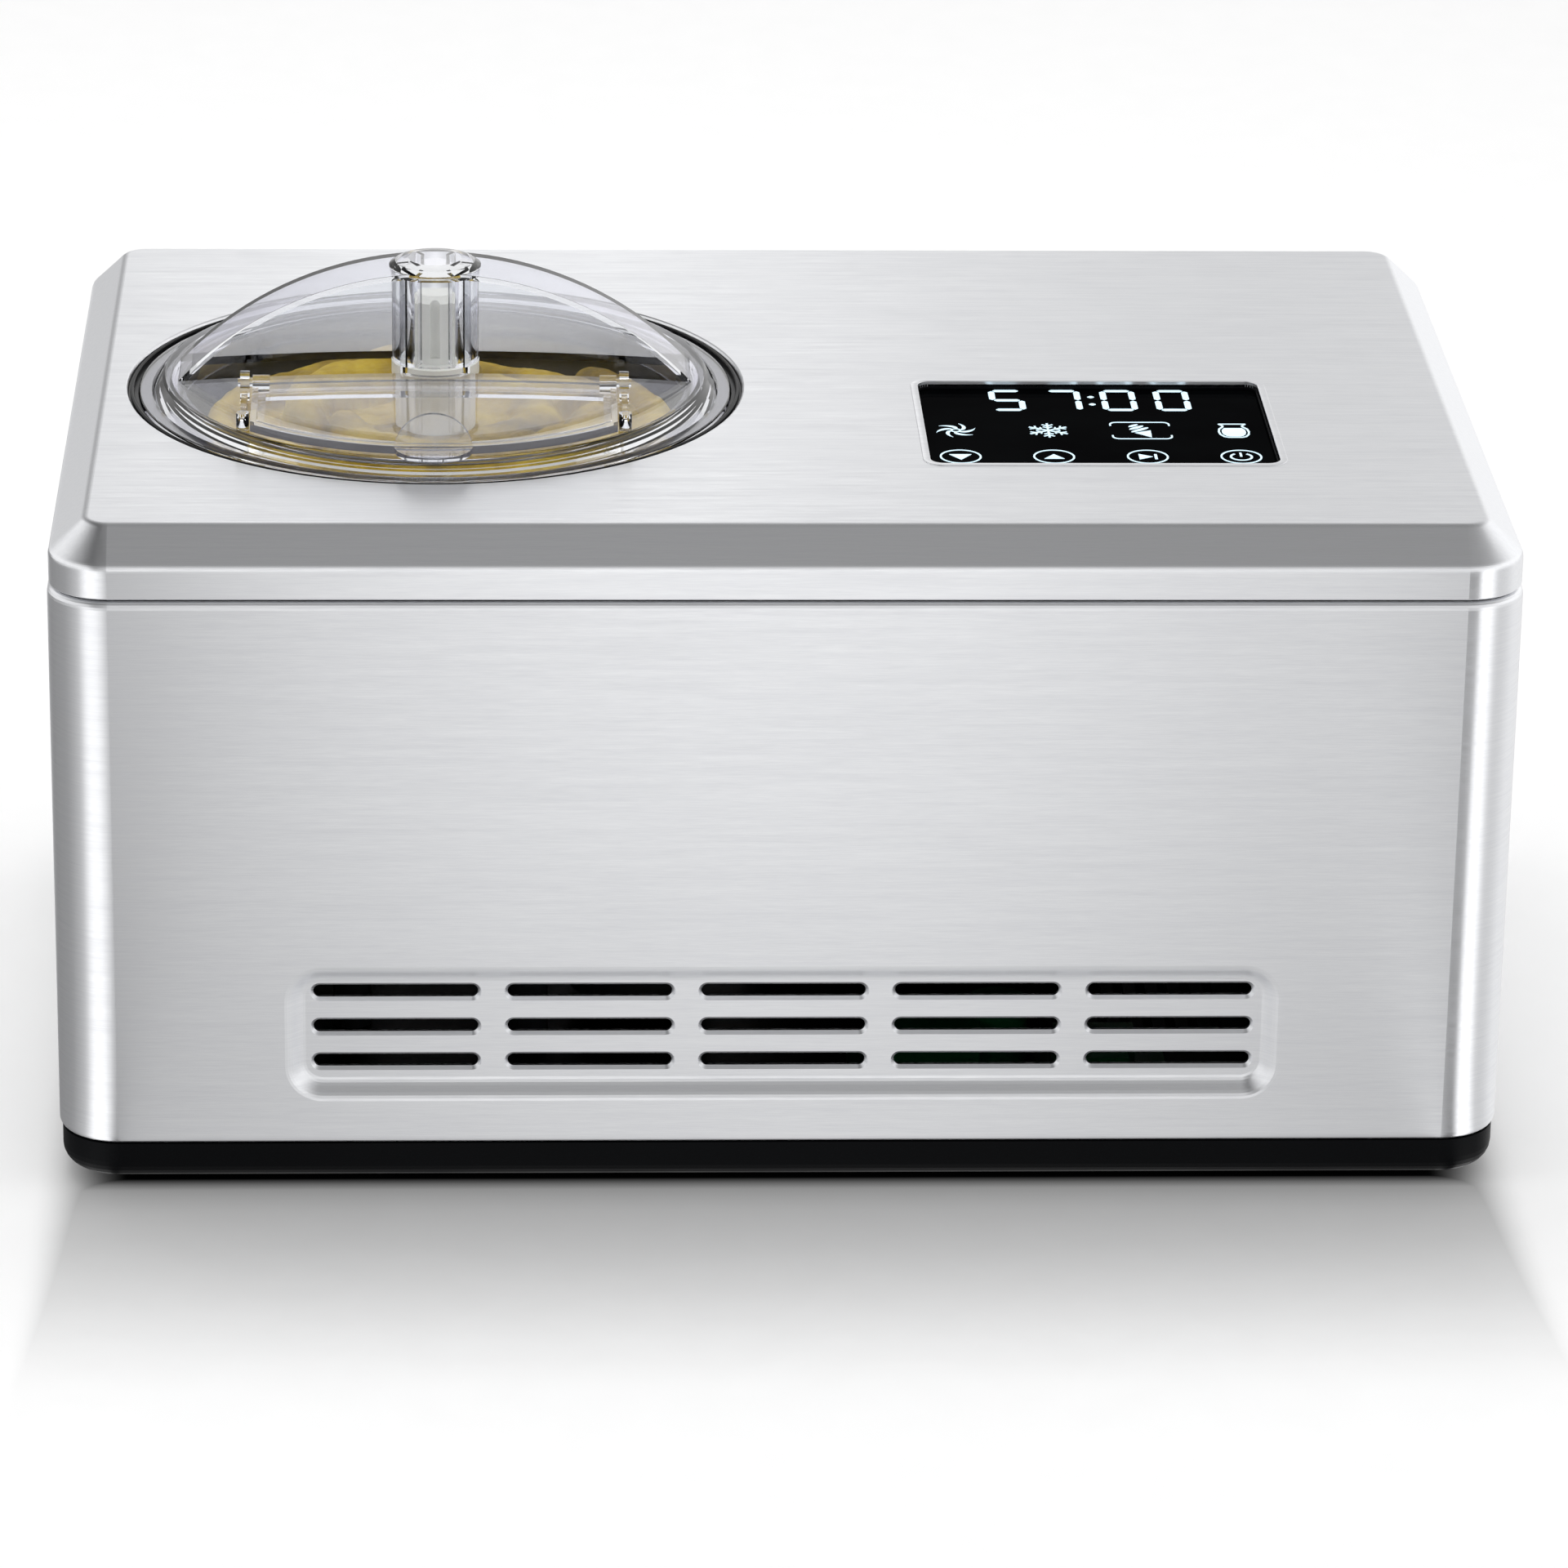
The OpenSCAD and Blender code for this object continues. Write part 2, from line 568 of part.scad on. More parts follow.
// One blade: a low arm, an upright scraper set at a slant, and a middle bar.
module paddle_blade(r, z0, z1, side) {
    hub = cone_r + 3;
    lean = 9;
    module bar(x0, x1, low, high) {
        intersection() {
            ring(concat([[0, z0]], arc([r - 5.5, z0 + 5.5], 5.5, -90, 0, 5), [[r, z1], [0, z1]]));
            rotate(side == 0 ? lean : -lean) translate([x0, -1.6, low]) cube([x1 - x0, 3.2, high - low]);
        }
    }
    bar(hub, r + 4, z0, z0 + 12);
    bar(r - 14, r + 4, z0, z1);
    if (side == 0) {
        bar(hub - 6, r + 4, z1 - 14, z1);
        bar(hub + 12, hub + 20, z0, z1);
    } else {
        bar(hub, r - 2, z0 + 30, z0 + 42);
        bar(hub - 6, r + 4, z1 - 10, z1);
    }
}

// ---- frozen mix, which is churned round with the paddle ----

module frozen_mix() {
    r = bowl_r - bowl_t - mix_gap;
    z0 = z_bowl_floor + bowl_t + 1;
    z_cone = z_bowl_floor + cone_h;
    top = z_bowl_rim - mix_drop;
    folds = [[34, 20, 170, 0], [52, 150, 150, 2.5], [44, 250, 120, 1], [63, 300, 130, 6], [24, 200, 150, 1.5], [64, 60, 110, 7]];
    color([0.85, 0.72, 0.2]) translate(bowl_c) difference() {
        intersection() {
            union() {
                ring(concat([[0, z0], [r - 6, z0]], arc([r - 6, z0 + 6], 6, -90, 0, 5),
                    [[r, top - 22], [r - 6, top - 15], [r - 22, top - 9], [r - 48, top - 5], [0, top - 5]]));
                for (f = folds) translate([0, 0, top - fold_r - f[3]]) rotate(f[1])
                    rotate_extrude(angle = f[2]) translate([f[0], 0]) circle(fold_r, $fn = 48);
            }
            translate([0, 0, z0]) cylinder(r = r, h = top - z0);
        }
        translate([0, 0, z0 - 1]) cylinder(r = cone_r + 4.5, h = z_cone + 2 - z0);
        translate([0, 0, z0]) cylinder(r = hub_r, h = 200);
        translate(-bowl_c) paddle();
    }
}

// ---- lid ----

// The dome's shell: the space between two spheres, above height z.
module dome(lift, thick, z) {
    c = z_dome - dome_r;
    translate([0, 0, c]) difference() {
        intersection() {
            sphere(r = dome_r + lift + thick, $fn = 200);
            translate([-lid_r, -lid_r, z - c]) cube([2 * lid_r, 2 * lid_r, 40]);
        }
        sphere(r = dome_r + lift, $fn = 200);
    }
}

// The grip's form: an arch through the lid's middle, drawn in by inset on every side.
module grip(inset) {
    zc = z_top + grip_h - grip_arch_r;
    intersection() {
        translate([0, 0, zc]) rotate([90, 0, 0]) cylinder(r = grip_arch_r - inset, h = grip_w - 2 * inset, center = true, $fn = 200);
        translate([0, 0, z_top]) cylinder(r = shoulder_r - inset * 0.9, h = 60);
    }
}

// The refill hole's or the flap's outline, seen from above.
module flap_outline(half, back, front_r) {
    intersection() {
        translate([-half, -lid_r]) square([2 * half, lid_r - back]);
        circle(r = front_r);
    }
}

module lid() {
    z_sh = z_top + shoulder_h;
    skirt_r = bowl_r - bowl_t - 1;
    color(clear) translate(bowl_c) difference() {
        union() {
            difference() {
                union() {
                    ring([[skirt_r - lid_t, z_flange], [lid_r, z_flange], [lid_r, z_flange + lid_t - 0.3],
                        [lid_r - 0.3, z_flange + lid_t], [lid_r - flange_w, z_flange + lid_t],
                        [shoulder_r + 0.8, z_sh - 0.6], [shoulder_r, z_sh], [shoulder_r - 2, z_sh],
                        [shoulder_r - lid_t, z_sh - lid_t], [skirt_r, z_flange + lid_t], [skirt_r - lid_t, z_flange + lid_t]]);
                    ring([[skirt_r - 1.6, z_bowl_rim - 5], [skirt_r, z_bowl_rim - 5], [skirt_r, z_flange + 1],
                        [skirt_r - 1.6, z_flange + 1]]);
                    intersection() {
                        dome(-lid_t, lid_t, z_flange);
                        cylinder(r = shoulder_r - 0.5, h = 400);
                    }
                    difference() {
                        grip(0);
                        translate([0, 0, z_dome - dome_r]) sphere(r = dome_r - lid_t, $fn = 200);
                    }
                }
                // lets the paddle's collar through
                translate([0, 0, z_top - 10]) cylinder(r = collar_r + 0.9, h = z_tube - z_top + 10);
                difference() {
                    grip(lid_t);
                    translate([0, 0, z_top + grip_h - 3]) cylinder(r = tube_r, h = 10);
                }
                translate([0, 0, z_top - 30]) cylinder(r = skirt_r - 2, h = 30);
                translate([0, 0, z_dome - 8]) linear_extrude(12)
                    flap_outline(hole_half, hinge_back + 4, shoulder_r - 6);
            }
            lid_tube();
            translate([0, 0, z_top + grip_h - 1.2]) ring([[0, 0], [tube_r + 0.8, 0], [tube_r + 0.8, 0.8],
                [tube_r - 1, 2], [tube_r - 5, 2.8], [0, 3]]);
            hinge_lugs();
        }
        for (s = [-1, 1]) translate([s * (flap_half + 1.4), -hinge_back, z_hinge]) rotate([0, 90, 0])
            cylinder(r = pin_r + run_gap, h = 12, center = true, $fn = 32);
    }
}

// The tube that steadies the paddle, with six ribs inside.
module lid_tube() {
    z0 = z_tube;
    top = z_top + grip_h - 0.5;
    difference() {
        translate([0, 0, z0]) cylinder(r = tube_r, h = top - z0);
        translate([0, 0, z0 - 1]) cylinder(r = tube_r - tube_t, h = top - z0 - 1.5);
    }
    for (k = [0:5]) rotate(60 * k) translate([tube_r - tube_t + 0.2, 0, z0]) translate([-3.6, -0.6, 0])
        cube([3.8, 1.2, top - z0 - 1]);
}

module hinge_lugs() {
    for (s = [-1, 1]) translate([s * (flap_half + 2.3), -hinge_back, 0]) {
        translate([-1.4, -3.6, z_dome - 4]) cube([2.8, 7.2, z_hinge - z_dome + 4]);
        translate([-1.4, 0, z_hinge]) rotate([0, 90, 0]) cylinder(r = 3.6, h = 2.8, $fn = 48);
        translate([-0.9, -26, z_dome - 5]) cube([1.8, 23, 5.6]);
        translate([0, -26, z_dome - 5]) cylinder(r = 1.9, h = 6.4, $fn = 32);
    }
}

module lid_flap() {
    lift = 0.35;
    thick = 1.8;
    front_r = shoulder_r - 1.5;
    y_tab = -sqrt(front_r * front_r - tab_r * tab_r) + 1;
    color(clear) translate(bowl_c) difference() {
        union() {
            intersection() {
                dome(lift, thick, z_top);
                linear_extrude(400) flap_outline(flap_half, hinge_back + 0.4, front_r);
            }
            // raised border
            intersection() {
                dome(lift + thick - 0.2, 1.6, z_top);
                linear_extrude(400) difference() {
                    flap_outline(flap_half, hinge_back + 0.4, front_r);
                    flap_outline(flap_half - 1.8, hinge_back + 2.2, front_r - 1.8);
                }
            }
            // hinge pins
            for (s = [-1, 1]) {
                translate([s * (flap_half - 2.5), -hinge_back, z_hinge]) rotate([0, 90, 0]) {
                    cylinder(r = barrel_r, h = 5, center = true, $fn = 48);
                    translate([0, 0, s * 4.4]) cylinder(r = pin_r, h = 5, center = true, $fn = 32);
                }
                translate([s * (flap_half - 2.5) - 2.5, -hinge_back - 4, z_hinge - barrel_r]) cube([5, 4, 2 * barrel_r - 0.8]);
            }
            // finger tab: an upright half disc and a round lip in front of it
            translate([0, y_tab, z_top + shoulder_h + 1]) {
                rotate([90, 0, 0]) difference() {
                    cylinder(r = tab_r, h = 1.6, center = true, $fn = 64);
                    translate([-tab_r - 1, -2 * tab_r, -5]) cube([2 * tab_r + 2, 2 * tab_r, 10]);
                }
                difference() {
                    cylinder(r = tab_r, h = 1.6, $fn = 64);
                    translate([-tab_r - 1, 0.5, -1]) cube([2 * tab_r + 2, 2 * tab_r, 4]);
                }
            }
        }
        // keeps the hinge blocks and the lip clear of the lid's dome
        intersection() {
            cylinder(r = shoulder_r + 0.6, h = 400);
            translate([0, 0, z_dome - dome_r]) sphere(r = dome_r + lift, $fn = 200);
        }
    }
}

// ---- control panel ----

module at_panel(z) { translate([panel_x, -panel_y, z]) children(); }

module display_glass() {
    z = z_top - glass_drop - glass_t;
    color(black) at_panel(z) linear_extrude(glass_t) rounded(panel_w + 4, panel_d + 4, panel_r + 2);
}

module display_frame() {
    z1 = z_top - glass_drop - glass_t - slack;
    color(black) at_panel(z1 - 12) difference() {
        linear_extrude(12) rounded(panel_w + 10, panel_d + 10, panel_r + 5);
        translate([0, 0, -1]) linear_extrude(11) rounded(panel_w + 6, panel_d + 6, panel_r + 3);
        translate([0, 0, -1]) linear_extrude(20) rounded(panel_w - 10, panel_d - 10, 3);
    }
}

module control_board() {
    z1 = z_top - glass_drop - glass_t - slack - 2 - slack;
    color([0.1, 0.35, 0.2]) at_panel(z1 - 1.6) {
        linear_extrude(1.6) rounded(panel_w + 4, panel_d + 4, panel_r + 2);
        translate([-36, 6, -8]) cube([72, 22, 8.5]);
        for (x = [-36, -12, 12, 36]) translate([x - 4, -30, -2]) cube([8, 8, 2.5]);
    }
}

// ---- refrigeration ----

module compressor() {
    r = compressor_r;
    h = compressor_h;
    z0 = z_floor + 10;
    color(black) translate(comp_c) {
        translate([0, 0, z0]) ring(concat([[0, 0]], arc([r - 26, 26], 26, -90, 0, 6),
            [[r, h * 0.46], [r + 3, h * 0.46], [r + 3, h * 0.52], [r, h * 0.52]],
            arc([r - 30, h - 30], 30, 0, 90, 6), [[0, h]]));
        difference() {
            translate([0, 0, z0 - 1]) linear_extrude(3) rounded(116, 84, 10);
            for (x = [-1, 1], y = [-1, 1]) translate([x * 50, y * 34, z0 - 2]) cylinder(r = 4, h = 6);
        }
        translate([-r + 8, 0, z0 + h - 22]) cylinder(r = 3.4, h = 26);
    }
}

module compressor_grommets() {
    z0 = z_floor;
    color([0.15, 0.15, 0.15]) translate(comp_c) for (x = [-1, 1], y = [-1, 1]) translate([x * 50, y * 34, z0])
        ring([[0, 0], [8, 0], [8, 8.7], [3.8, 8.7], [3.8, 12.4], [7, 12.4], [7, 15], [0, 15]]);
}

module start_relay() {
    color([0.2, 0.2, 0.22]) translate(comp_c) translate([0, -compressor_r - 13.5, z_floor + 20]) {
        translate([-17, -1, 0]) cube([34, 13.6, 40]);
        translate([-12, -4, 6]) cube([24, 3.5, 28]);
    }
}

module condenser() {
    rows = 5;
    gap = (cond_d - 12) / (fin_count - 1);
    pitch = (cond_h - 24) / (rows - 1);
    color(alloy) translate([cond_x, fan_c[1] - cond_d / 2, z_floor + slack]) {
        for (i = [0:fin_count - 1]) translate([0, 6 + i * gap - 0.4, 0]) cube([cond_t, 0.8, cond_h]);
        for (y = [0, cond_d - 1.5]) translate([-4, y, 0]) cube([cond_t + 4, 1.5, cond_h + 3]);
        for (k = [0:rows - 1]) translate([cond_t / 2, -3, 12 + k * pitch]) rotate([-90, 0, 0])
            cylinder(r = 3.4, h = cond_d + 6, $fn = 32);
        for (k = [0:rows - 2]) translate([cond_t / 2, k % 2 == 0 ? cond_d + 3 : -3, 12 + (k + 0.5) * pitch])
            rotate([0, 0, k % 2 == 0 ? 0 : 180]) rotate([0, 90, 0]) rotate([0, 0, 0])
                rotate_extrude(angle = 180) translate([pitch / 2, 0]) circle(r = 3.4, $fn = 32);
    }
}

module fan_shroud() {
    x1 = cond_x - 4 - slack;
    side = 2 * fan_r + 10;
    color(black) difference() {
        union() {
            translate([x1 - 22, fan_c[1] - side / 2, fan_c[2] - side / 2]) cube([22, side, side]);
            translate([x1 - 4, fan_c[1] - side / 2 - 8, z_floor + slack]) cube([4, side + 16, fan_c[2] - z_floor]);
        }
        translate([x1 - 23, fan_c[1], fan_c[2]]) rotate([0, 90, 0]) cylinder(r = fan_r + 1.5, h = 30);
    }
    color(black) for (a = [0:3]) translate([x1 - 22, fan_c[1], fan_c[2]]) rotate([45 + 90 * a, 0, 0])
        translate([0, 17.5, -3]) cube([3, fan_r - 14, 6]);
    color(black) translate([x1 - 22, fan_c[1], fan_c[2]]) rotate([0, 90, 0]) difference() {
        cylinder(r = 19, h = 3);
        translate([0, 0, -1]) cylinder(r = 16.5, h = 5);
    }
}

module fan_motor() {
    x1 = cond_x - 4 - slack;
    color([0.3, 0.3, 0.32]) translate([x1 - 22, fan_c[1], fan_c[2]]) rotate([0, -90, 0]) {
        translate([0, 0, -3]) cylinder(r = 16.2, h = 21);
        translate([0, 0, -7]) cylinder(r = 2, h = 30, $fn = 32);
    }
}

module fan_rotor() {
    x1 = cond_x - 4 - slack;
    hub = 14;
    color([0.2, 0.2, 0.21]) translate([x1 - 14, fan_c[1], fan_c[2]]) rotate([0, 90, 0]) difference() {
        union() {
            translate([0, 0, -3]) cylinder(r = hub, h = 12);
            intersection() {
                translate([0, 0, -3]) cylinder(r = fan_r, h = 12);
                for (k = [0:fan_blades - 1]) rotate(360 * k / fan_blades) translate([hub - 2, 0, 3])
                    rotate([34, 0, 0]) translate([0, -13, -0.8]) cube([fan_r, 26, 1.6]);
            }
        }
        translate([0, 0, -4]) cylinder(r = 2 + run_gap, h = 8, $fn = 32);
    }
}

drier_c = [body_w / 2 - 108.5, body_d / 2 - 20.5, z_floor + 34];    // centre of the filter drier

module filter_drier() {
    color(copper) translate(drier_c) rotate([0, 90, 0])
        ring([[0, -34], [pipe_r, -34], [pipe_r, -26], [8, -18], [8, 18], [pipe_r, 26], [pipe_r, 34], [0, 34]]);
    color(black) translate([drier_c[0], drier_c[1], z_floor + slack / 2]) difference() {
        translate([-3, -11, 0]) cube([6, 22, drier_c[2] - z_floor + 10]);
        translate([-4, 0, drier_c[2] - z_floor]) rotate([0, 90, 0]) cylinder(r = 8.1, h = 8);
        translate([-4, -8.1, drier_c[2] - z_floor]) cube([8, 16.2, 20]);
    }
}

module discharge_pipe() {
    z1 = z_floor + 10 + compressor_h + 4.5;
    start = [comp_c[0] - compressor_r + 8, comp_c[1], z1];
    path = [start, start + [0, 0, 5], start + [4, 0, 10], start + [12, 1, 13], start + [40, 4, 14],
        [cond_x - 34, comp_c[1] + 14, z1 + 14], [cond_x - 14, comp_c[1] + 22, z1 + 10],
        [cond_x - 4, cond_d / 2 + fan_c[1] + 10, z1 - 2], [cond_x + 4, cond_d / 2 + fan_c[1] + 15, z1 - 8],
        [cond_x + cond_t / 2, cond_d / 2 + fan_c[1] + 15, z1 - 10]];
    color(copper) sweep(path, pipe_r, 8, [0.13, 0.9, 0.2]);
}

module power_board() {
    x0 = 22;
    y0 = -body_d / 2 + 14;
    color([0.1, 0.35, 0.2]) translate([x0, y0, z_floor]) {
        translate([0, 0, 8]) cube([96, 58, 1.6]);
        for (x = [5, 91], y = [5, 53]) translate([x, y, slack]) cylinder(r = 3, h = 8, $fn = 32);
        translate([8, 20, 9]) cube([30, 26, 22]);
        translate([44, 34, 9]) cylinder(r = 9, h = 26, $fn = 48);
        translate([60, 12, 9]) cube([22, 16, 16]);
        translate([62, 36, 9]) cube([24, 12, 12]);
    }
}

module cord_gland() {
    color(black) translate([gland_x, body_d / 2, gland_z]) rotate([90, 0, 0]) difference() {
        union() {
            translate([0, 0, 0.2]) cylinder(r = gland_bore + 3.4, h = 14);
            translate([0, 0, shell_t + 0.3]) cylinder(r = gland_bore + 7, h = 3);
        }
        translate([0, 0, -1]) cylinder(r = gland_bore, h = 20);
    }
}

base_tray();
feet();
base_screws();
outer_shell();
top_cover();
bowl_seal();
cooling_well();
evaporator_coil();
insulation();
gear_motor();
shaft_bush();
drive_shaft();
bowl();
paddle();
frozen_mix();
lid();
lid_flap();
display_glass();
display_frame();
control_board();
compressor();
compressor_grommets();
start_relay();
condenser();
fan_shroud();
fan_motor();
fan_rotor();
filter_drier();
discharge_pipe();
power_board();
cord_gland();
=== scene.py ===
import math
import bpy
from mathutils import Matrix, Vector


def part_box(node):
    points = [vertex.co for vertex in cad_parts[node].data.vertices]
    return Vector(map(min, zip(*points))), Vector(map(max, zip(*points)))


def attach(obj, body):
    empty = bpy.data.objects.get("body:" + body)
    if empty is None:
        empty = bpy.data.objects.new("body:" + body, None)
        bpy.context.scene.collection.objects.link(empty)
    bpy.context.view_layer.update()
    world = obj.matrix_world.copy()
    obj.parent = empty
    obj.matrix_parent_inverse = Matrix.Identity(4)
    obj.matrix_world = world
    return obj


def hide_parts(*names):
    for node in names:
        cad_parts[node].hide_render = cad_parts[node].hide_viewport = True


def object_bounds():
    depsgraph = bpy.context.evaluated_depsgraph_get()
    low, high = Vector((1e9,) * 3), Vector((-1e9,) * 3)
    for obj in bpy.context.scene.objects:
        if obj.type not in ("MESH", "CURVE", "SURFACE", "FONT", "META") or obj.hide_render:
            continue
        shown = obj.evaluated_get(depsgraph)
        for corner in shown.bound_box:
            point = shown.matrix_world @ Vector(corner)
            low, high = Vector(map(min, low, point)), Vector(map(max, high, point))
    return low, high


bl_info = {
    "name": "Ice cream maker",
    "version": (1, 0, 0),
    "blender": (4, 5, 0),
    "location": "View3D > Sidebar > Ice cream maker",
    "description": "Finishes a compressor ice cream maker, lights its display and sets its stage",
    "category": "Object",
}

import bmesh
import bpy
from bpy.props import FloatProperty, FloatVectorProperty, IntProperty, PointerProperty
from mathutils import Euler, Vector, noise

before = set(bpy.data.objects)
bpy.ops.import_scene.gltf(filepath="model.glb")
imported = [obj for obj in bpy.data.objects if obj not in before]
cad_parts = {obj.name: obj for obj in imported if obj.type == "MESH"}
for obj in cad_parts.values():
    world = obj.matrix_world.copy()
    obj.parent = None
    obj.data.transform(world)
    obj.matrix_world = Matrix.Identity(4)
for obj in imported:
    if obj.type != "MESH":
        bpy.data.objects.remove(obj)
CAD_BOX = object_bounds()
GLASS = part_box("display_glass")
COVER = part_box("top_cover")
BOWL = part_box("bowl")
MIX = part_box("frozen_mix")
MM = 0.001
BOWL_AXIS = (BOWL[0] + BOWL[1]) / 2

# Noise seldom leaves these limits, so ramps and ranges run between them.
NOISE_LOW, NOISE_HIGH = 0.3, 0.7
STREAK_LOW, STREAK_HIGH = 0.34, 0.66
# Metres from ring to ring of a wave texture at Scale 1
WAVE_PERIOD = 0.314


# ---- materials ----


def linear(code):
    """Turns an sRGB hex value such as D9BE3B to a linear colour."""
    parts = [int(code[i : i + 2], 16) / 255 for i in (0, 2, 4)]
    return tuple(c / 12.92 if c <= 0.04045 else ((c + 0.055) / 1.055) ** 2.4 for c in parts) + (1.0,)


def grey(value):
    return (value, value, value, 1.0)


def greys(stops):
    """A ramp's stops from pairs of a place and a grey value."""
    return [(place, grey(value)) for place, value in stops]


def scaled(colour, factor):
    """A colour made darker or lighter, up to full."""
    return tuple(min(1.0, c * factor) for c in colour[:3]) + (1.0,)


def add(tree, kind, inputs=None, stops=(), **settings):
    """Adds a node with its settings, sets or links its inputs, and gives a colour ramp its stops."""
    made = tree.nodes.new(kind)
    for name, value in settings.items():
        setattr(made, name, value)
    for name, value in (inputs or {}).items():
        if isinstance(value, bpy.types.Node):
            value = value.outputs[0]
        if isinstance(value, bpy.types.NodeSocket):
            tree.links.new(value, made.inputs[name])
        else:
            made.inputs[name].default_value = value
    for i, (place, colour) in enumerate(stops):
        element = made.color_ramp.elements[i] if i < 2 else made.color_ramp.elements.new(place)
        element.position = place
        element.color = colour
    return made


def start(name):
    """A new material with its tree emptied, its shader and the object's own coordinates."""
    made = bpy.data.materials.new(name)
    made.use_nodes = True
    tree = made.node_tree
    tree.nodes.clear()
    place = add(tree, "ShaderNodeTexCoord").outputs["Object"]
    shader = add(tree, "ShaderNodeBsdfPrincipled")
    add(tree, "ShaderNodeOutputMaterial", {"Surface": shader})
    return made, tree, place, shader


def brushed(name, light, dark, rough, along, streak_mm=9.0, line_mm=0.28):
    """Stainless sheet, AISI 304, brushed with an abrasive belt: fine broken scratches that run one way.
    They show as faint streaks and stretch each highlight across them. The real lines are too fine to
    show, so they are drawn several times coarser."""
    wider = 0.22  # scale of the broad bands against the fine streaks
    made, tree, place, shader = start(name)
    size = [1 / (streak_mm * MM) if axis in along else 1 / (line_mm * MM) for axis in "XYZ"]
    fine = add(tree, "ShaderNodeMapping", {"Vector": place, "Scale": size})
    wide = add(tree, "ShaderNodeMapping", {"Vector": place, "Scale": [s * wider for s in size]})
    hair = add(tree, "ShaderNodeTexNoise", {"Vector": fine, "Scale": 1.0, "Detail": 3.0, "Roughness": 0.65})
    band = add(tree, "ShaderNodeTexNoise", {"Vector": wide, "Scale": 1.0, "Detail": 1.0})
    part = add(tree, "ShaderNodeMath", {0: band, 1: 0.35}, operation="MULTIPLY")
    both = add(tree, "ShaderNodeMath", {0: hair, 1: 0.65, 2: part}, operation="MULTIPLY_ADD")
    shade = add(tree, "ShaderNodeValToRGB", {"Fac": both},
                stops=[(STREAK_LOW, linear(dark)), (STREAK_HIGH, linear(light))])
    gloss = add(tree, "ShaderNodeMapRange", {"Value": both, "From Min": STREAK_LOW, "From Max": STREAK_HIGH,
                                             "To Min": rough + 0.03, "To Max": rough - 0.03})
    bump = add(tree, "ShaderNodeBump", {"Height": both, "Strength": 0.06, "Distance": 0.0001})
    tree.links.new(shade.outputs["Color"], shader.inputs["Base Color"])
    tree.links.new(gloss.outputs[0], shader.inputs["Roughness"])
    tree.links.new(bump.outputs[0], shader.inputs["Normal"])
    shader.inputs["Metallic"].default_value = 1.0
    shader.inputs["Anisotropic"].default_value = 0.7
    if along == "XY":
        across = add(tree, "ShaderNodeCombineXYZ", {"Z": 1.0})
    else:
        # Known fault: this is zero on faces that look straight along X, and they seem to turn black.
        facing = add(tree, "ShaderNodeNewGeometry").outputs["Normal"]
        across = add(tree, "ShaderNodeVectorMath", {0: facing, 1: (1.0, 0.0, 0.0)},
                     operation="CROSS_PRODUCT")
    tree.links.new(across.outputs[0], shader.inputs["Tangent"])
    return made


def grained(name, code, rough, grain_mm, depth, spread=0.12, metal=0.0, coat=0.0, shine=0.5):
    """Moulded plastic, rubber, enamel or cast metal: one colour with a fine even grain,
    and slow changes of gloss where it was handled."""
    made, tree, place, shader = start(name)
    grain = add(tree, "ShaderNodeTexNoise", {"Vector": place, "Scale": 1.0 / (grain_mm * MM), "Detail": 2.0})
    slow = add(tree, "ShaderNodeTexNoise", {"Vector": place, "Scale": 24.0, "Detail": 3.0})
    colour = linear(code)
    shade = add(tree, "ShaderNodeValToRGB", {"Fac": slow},
                stops=[(NOISE_LOW, scaled(colour, 1 - spread)), (NOISE_HIGH, scaled(colour, 1 + spread))])
    gloss = add(tree, "ShaderNodeMapRange", {"Value": slow, "From Min": NOISE_LOW, "From Max": NOISE_HIGH,
                                             "To Min": max(0.02, rough - 0.06), "To Max": rough + 0.06})
    bump = add(tree, "ShaderNodeBump", {"Height": grain, "Strength": depth, "Distance": grain_mm * MM * 0.4})
    tree.links.new(shade.outputs["Color"], shader.inputs["Base Color"])
    tree.links.new(gloss.outputs[0], shader.inputs["Roughness"])
    tree.links.new(bump.outputs[0], shader.inputs["Normal"])
    shader.inputs["Metallic"].default_value = metal
    shader.inputs["Coat Weight"].default_value = coat
    shader.inputs["Specular IOR Level"].default_value = shine
    return made


def turned(name, light, dark, rough, pitch_mm):
    """Turned, spun or drawn metal: fine rings round the upright axis, from the tool's feed."""
    made, tree, place, shader = start(name)
    rings = add(tree, "ShaderNodeTexWave",
                {"Vector": place, "Scale": WAVE_PERIOD / (pitch_mm * MM), "Distortion": 0.6, "Detail": 1.0},
                wave_type="BANDS", bands_direction="Z")
    slow = add(tree, "ShaderNodeTexNoise", {"Vector": place, "Scale": 30.0, "Detail": 3.0})
    shade = add(tree, "ShaderNodeValToRGB", {"Fac": slow},
                stops=[(NOISE_LOW, linear(dark)), (NOISE_HIGH, linear(light))])
    bump = add(tree, "ShaderNodeBump", {"Height": rings.outputs["Fac"], "Strength": 0.12, "Distance": 0.0001})
    tree.links.new(shade.outputs["Color"], shader.inputs["Base Color"])
    tree.links.new(bump.outputs[0], shader.inputs["Normal"])
    shader.inputs["Metallic"].default_value = 1.0
    shader.inputs["Roughness"].default_value = rough
    return made


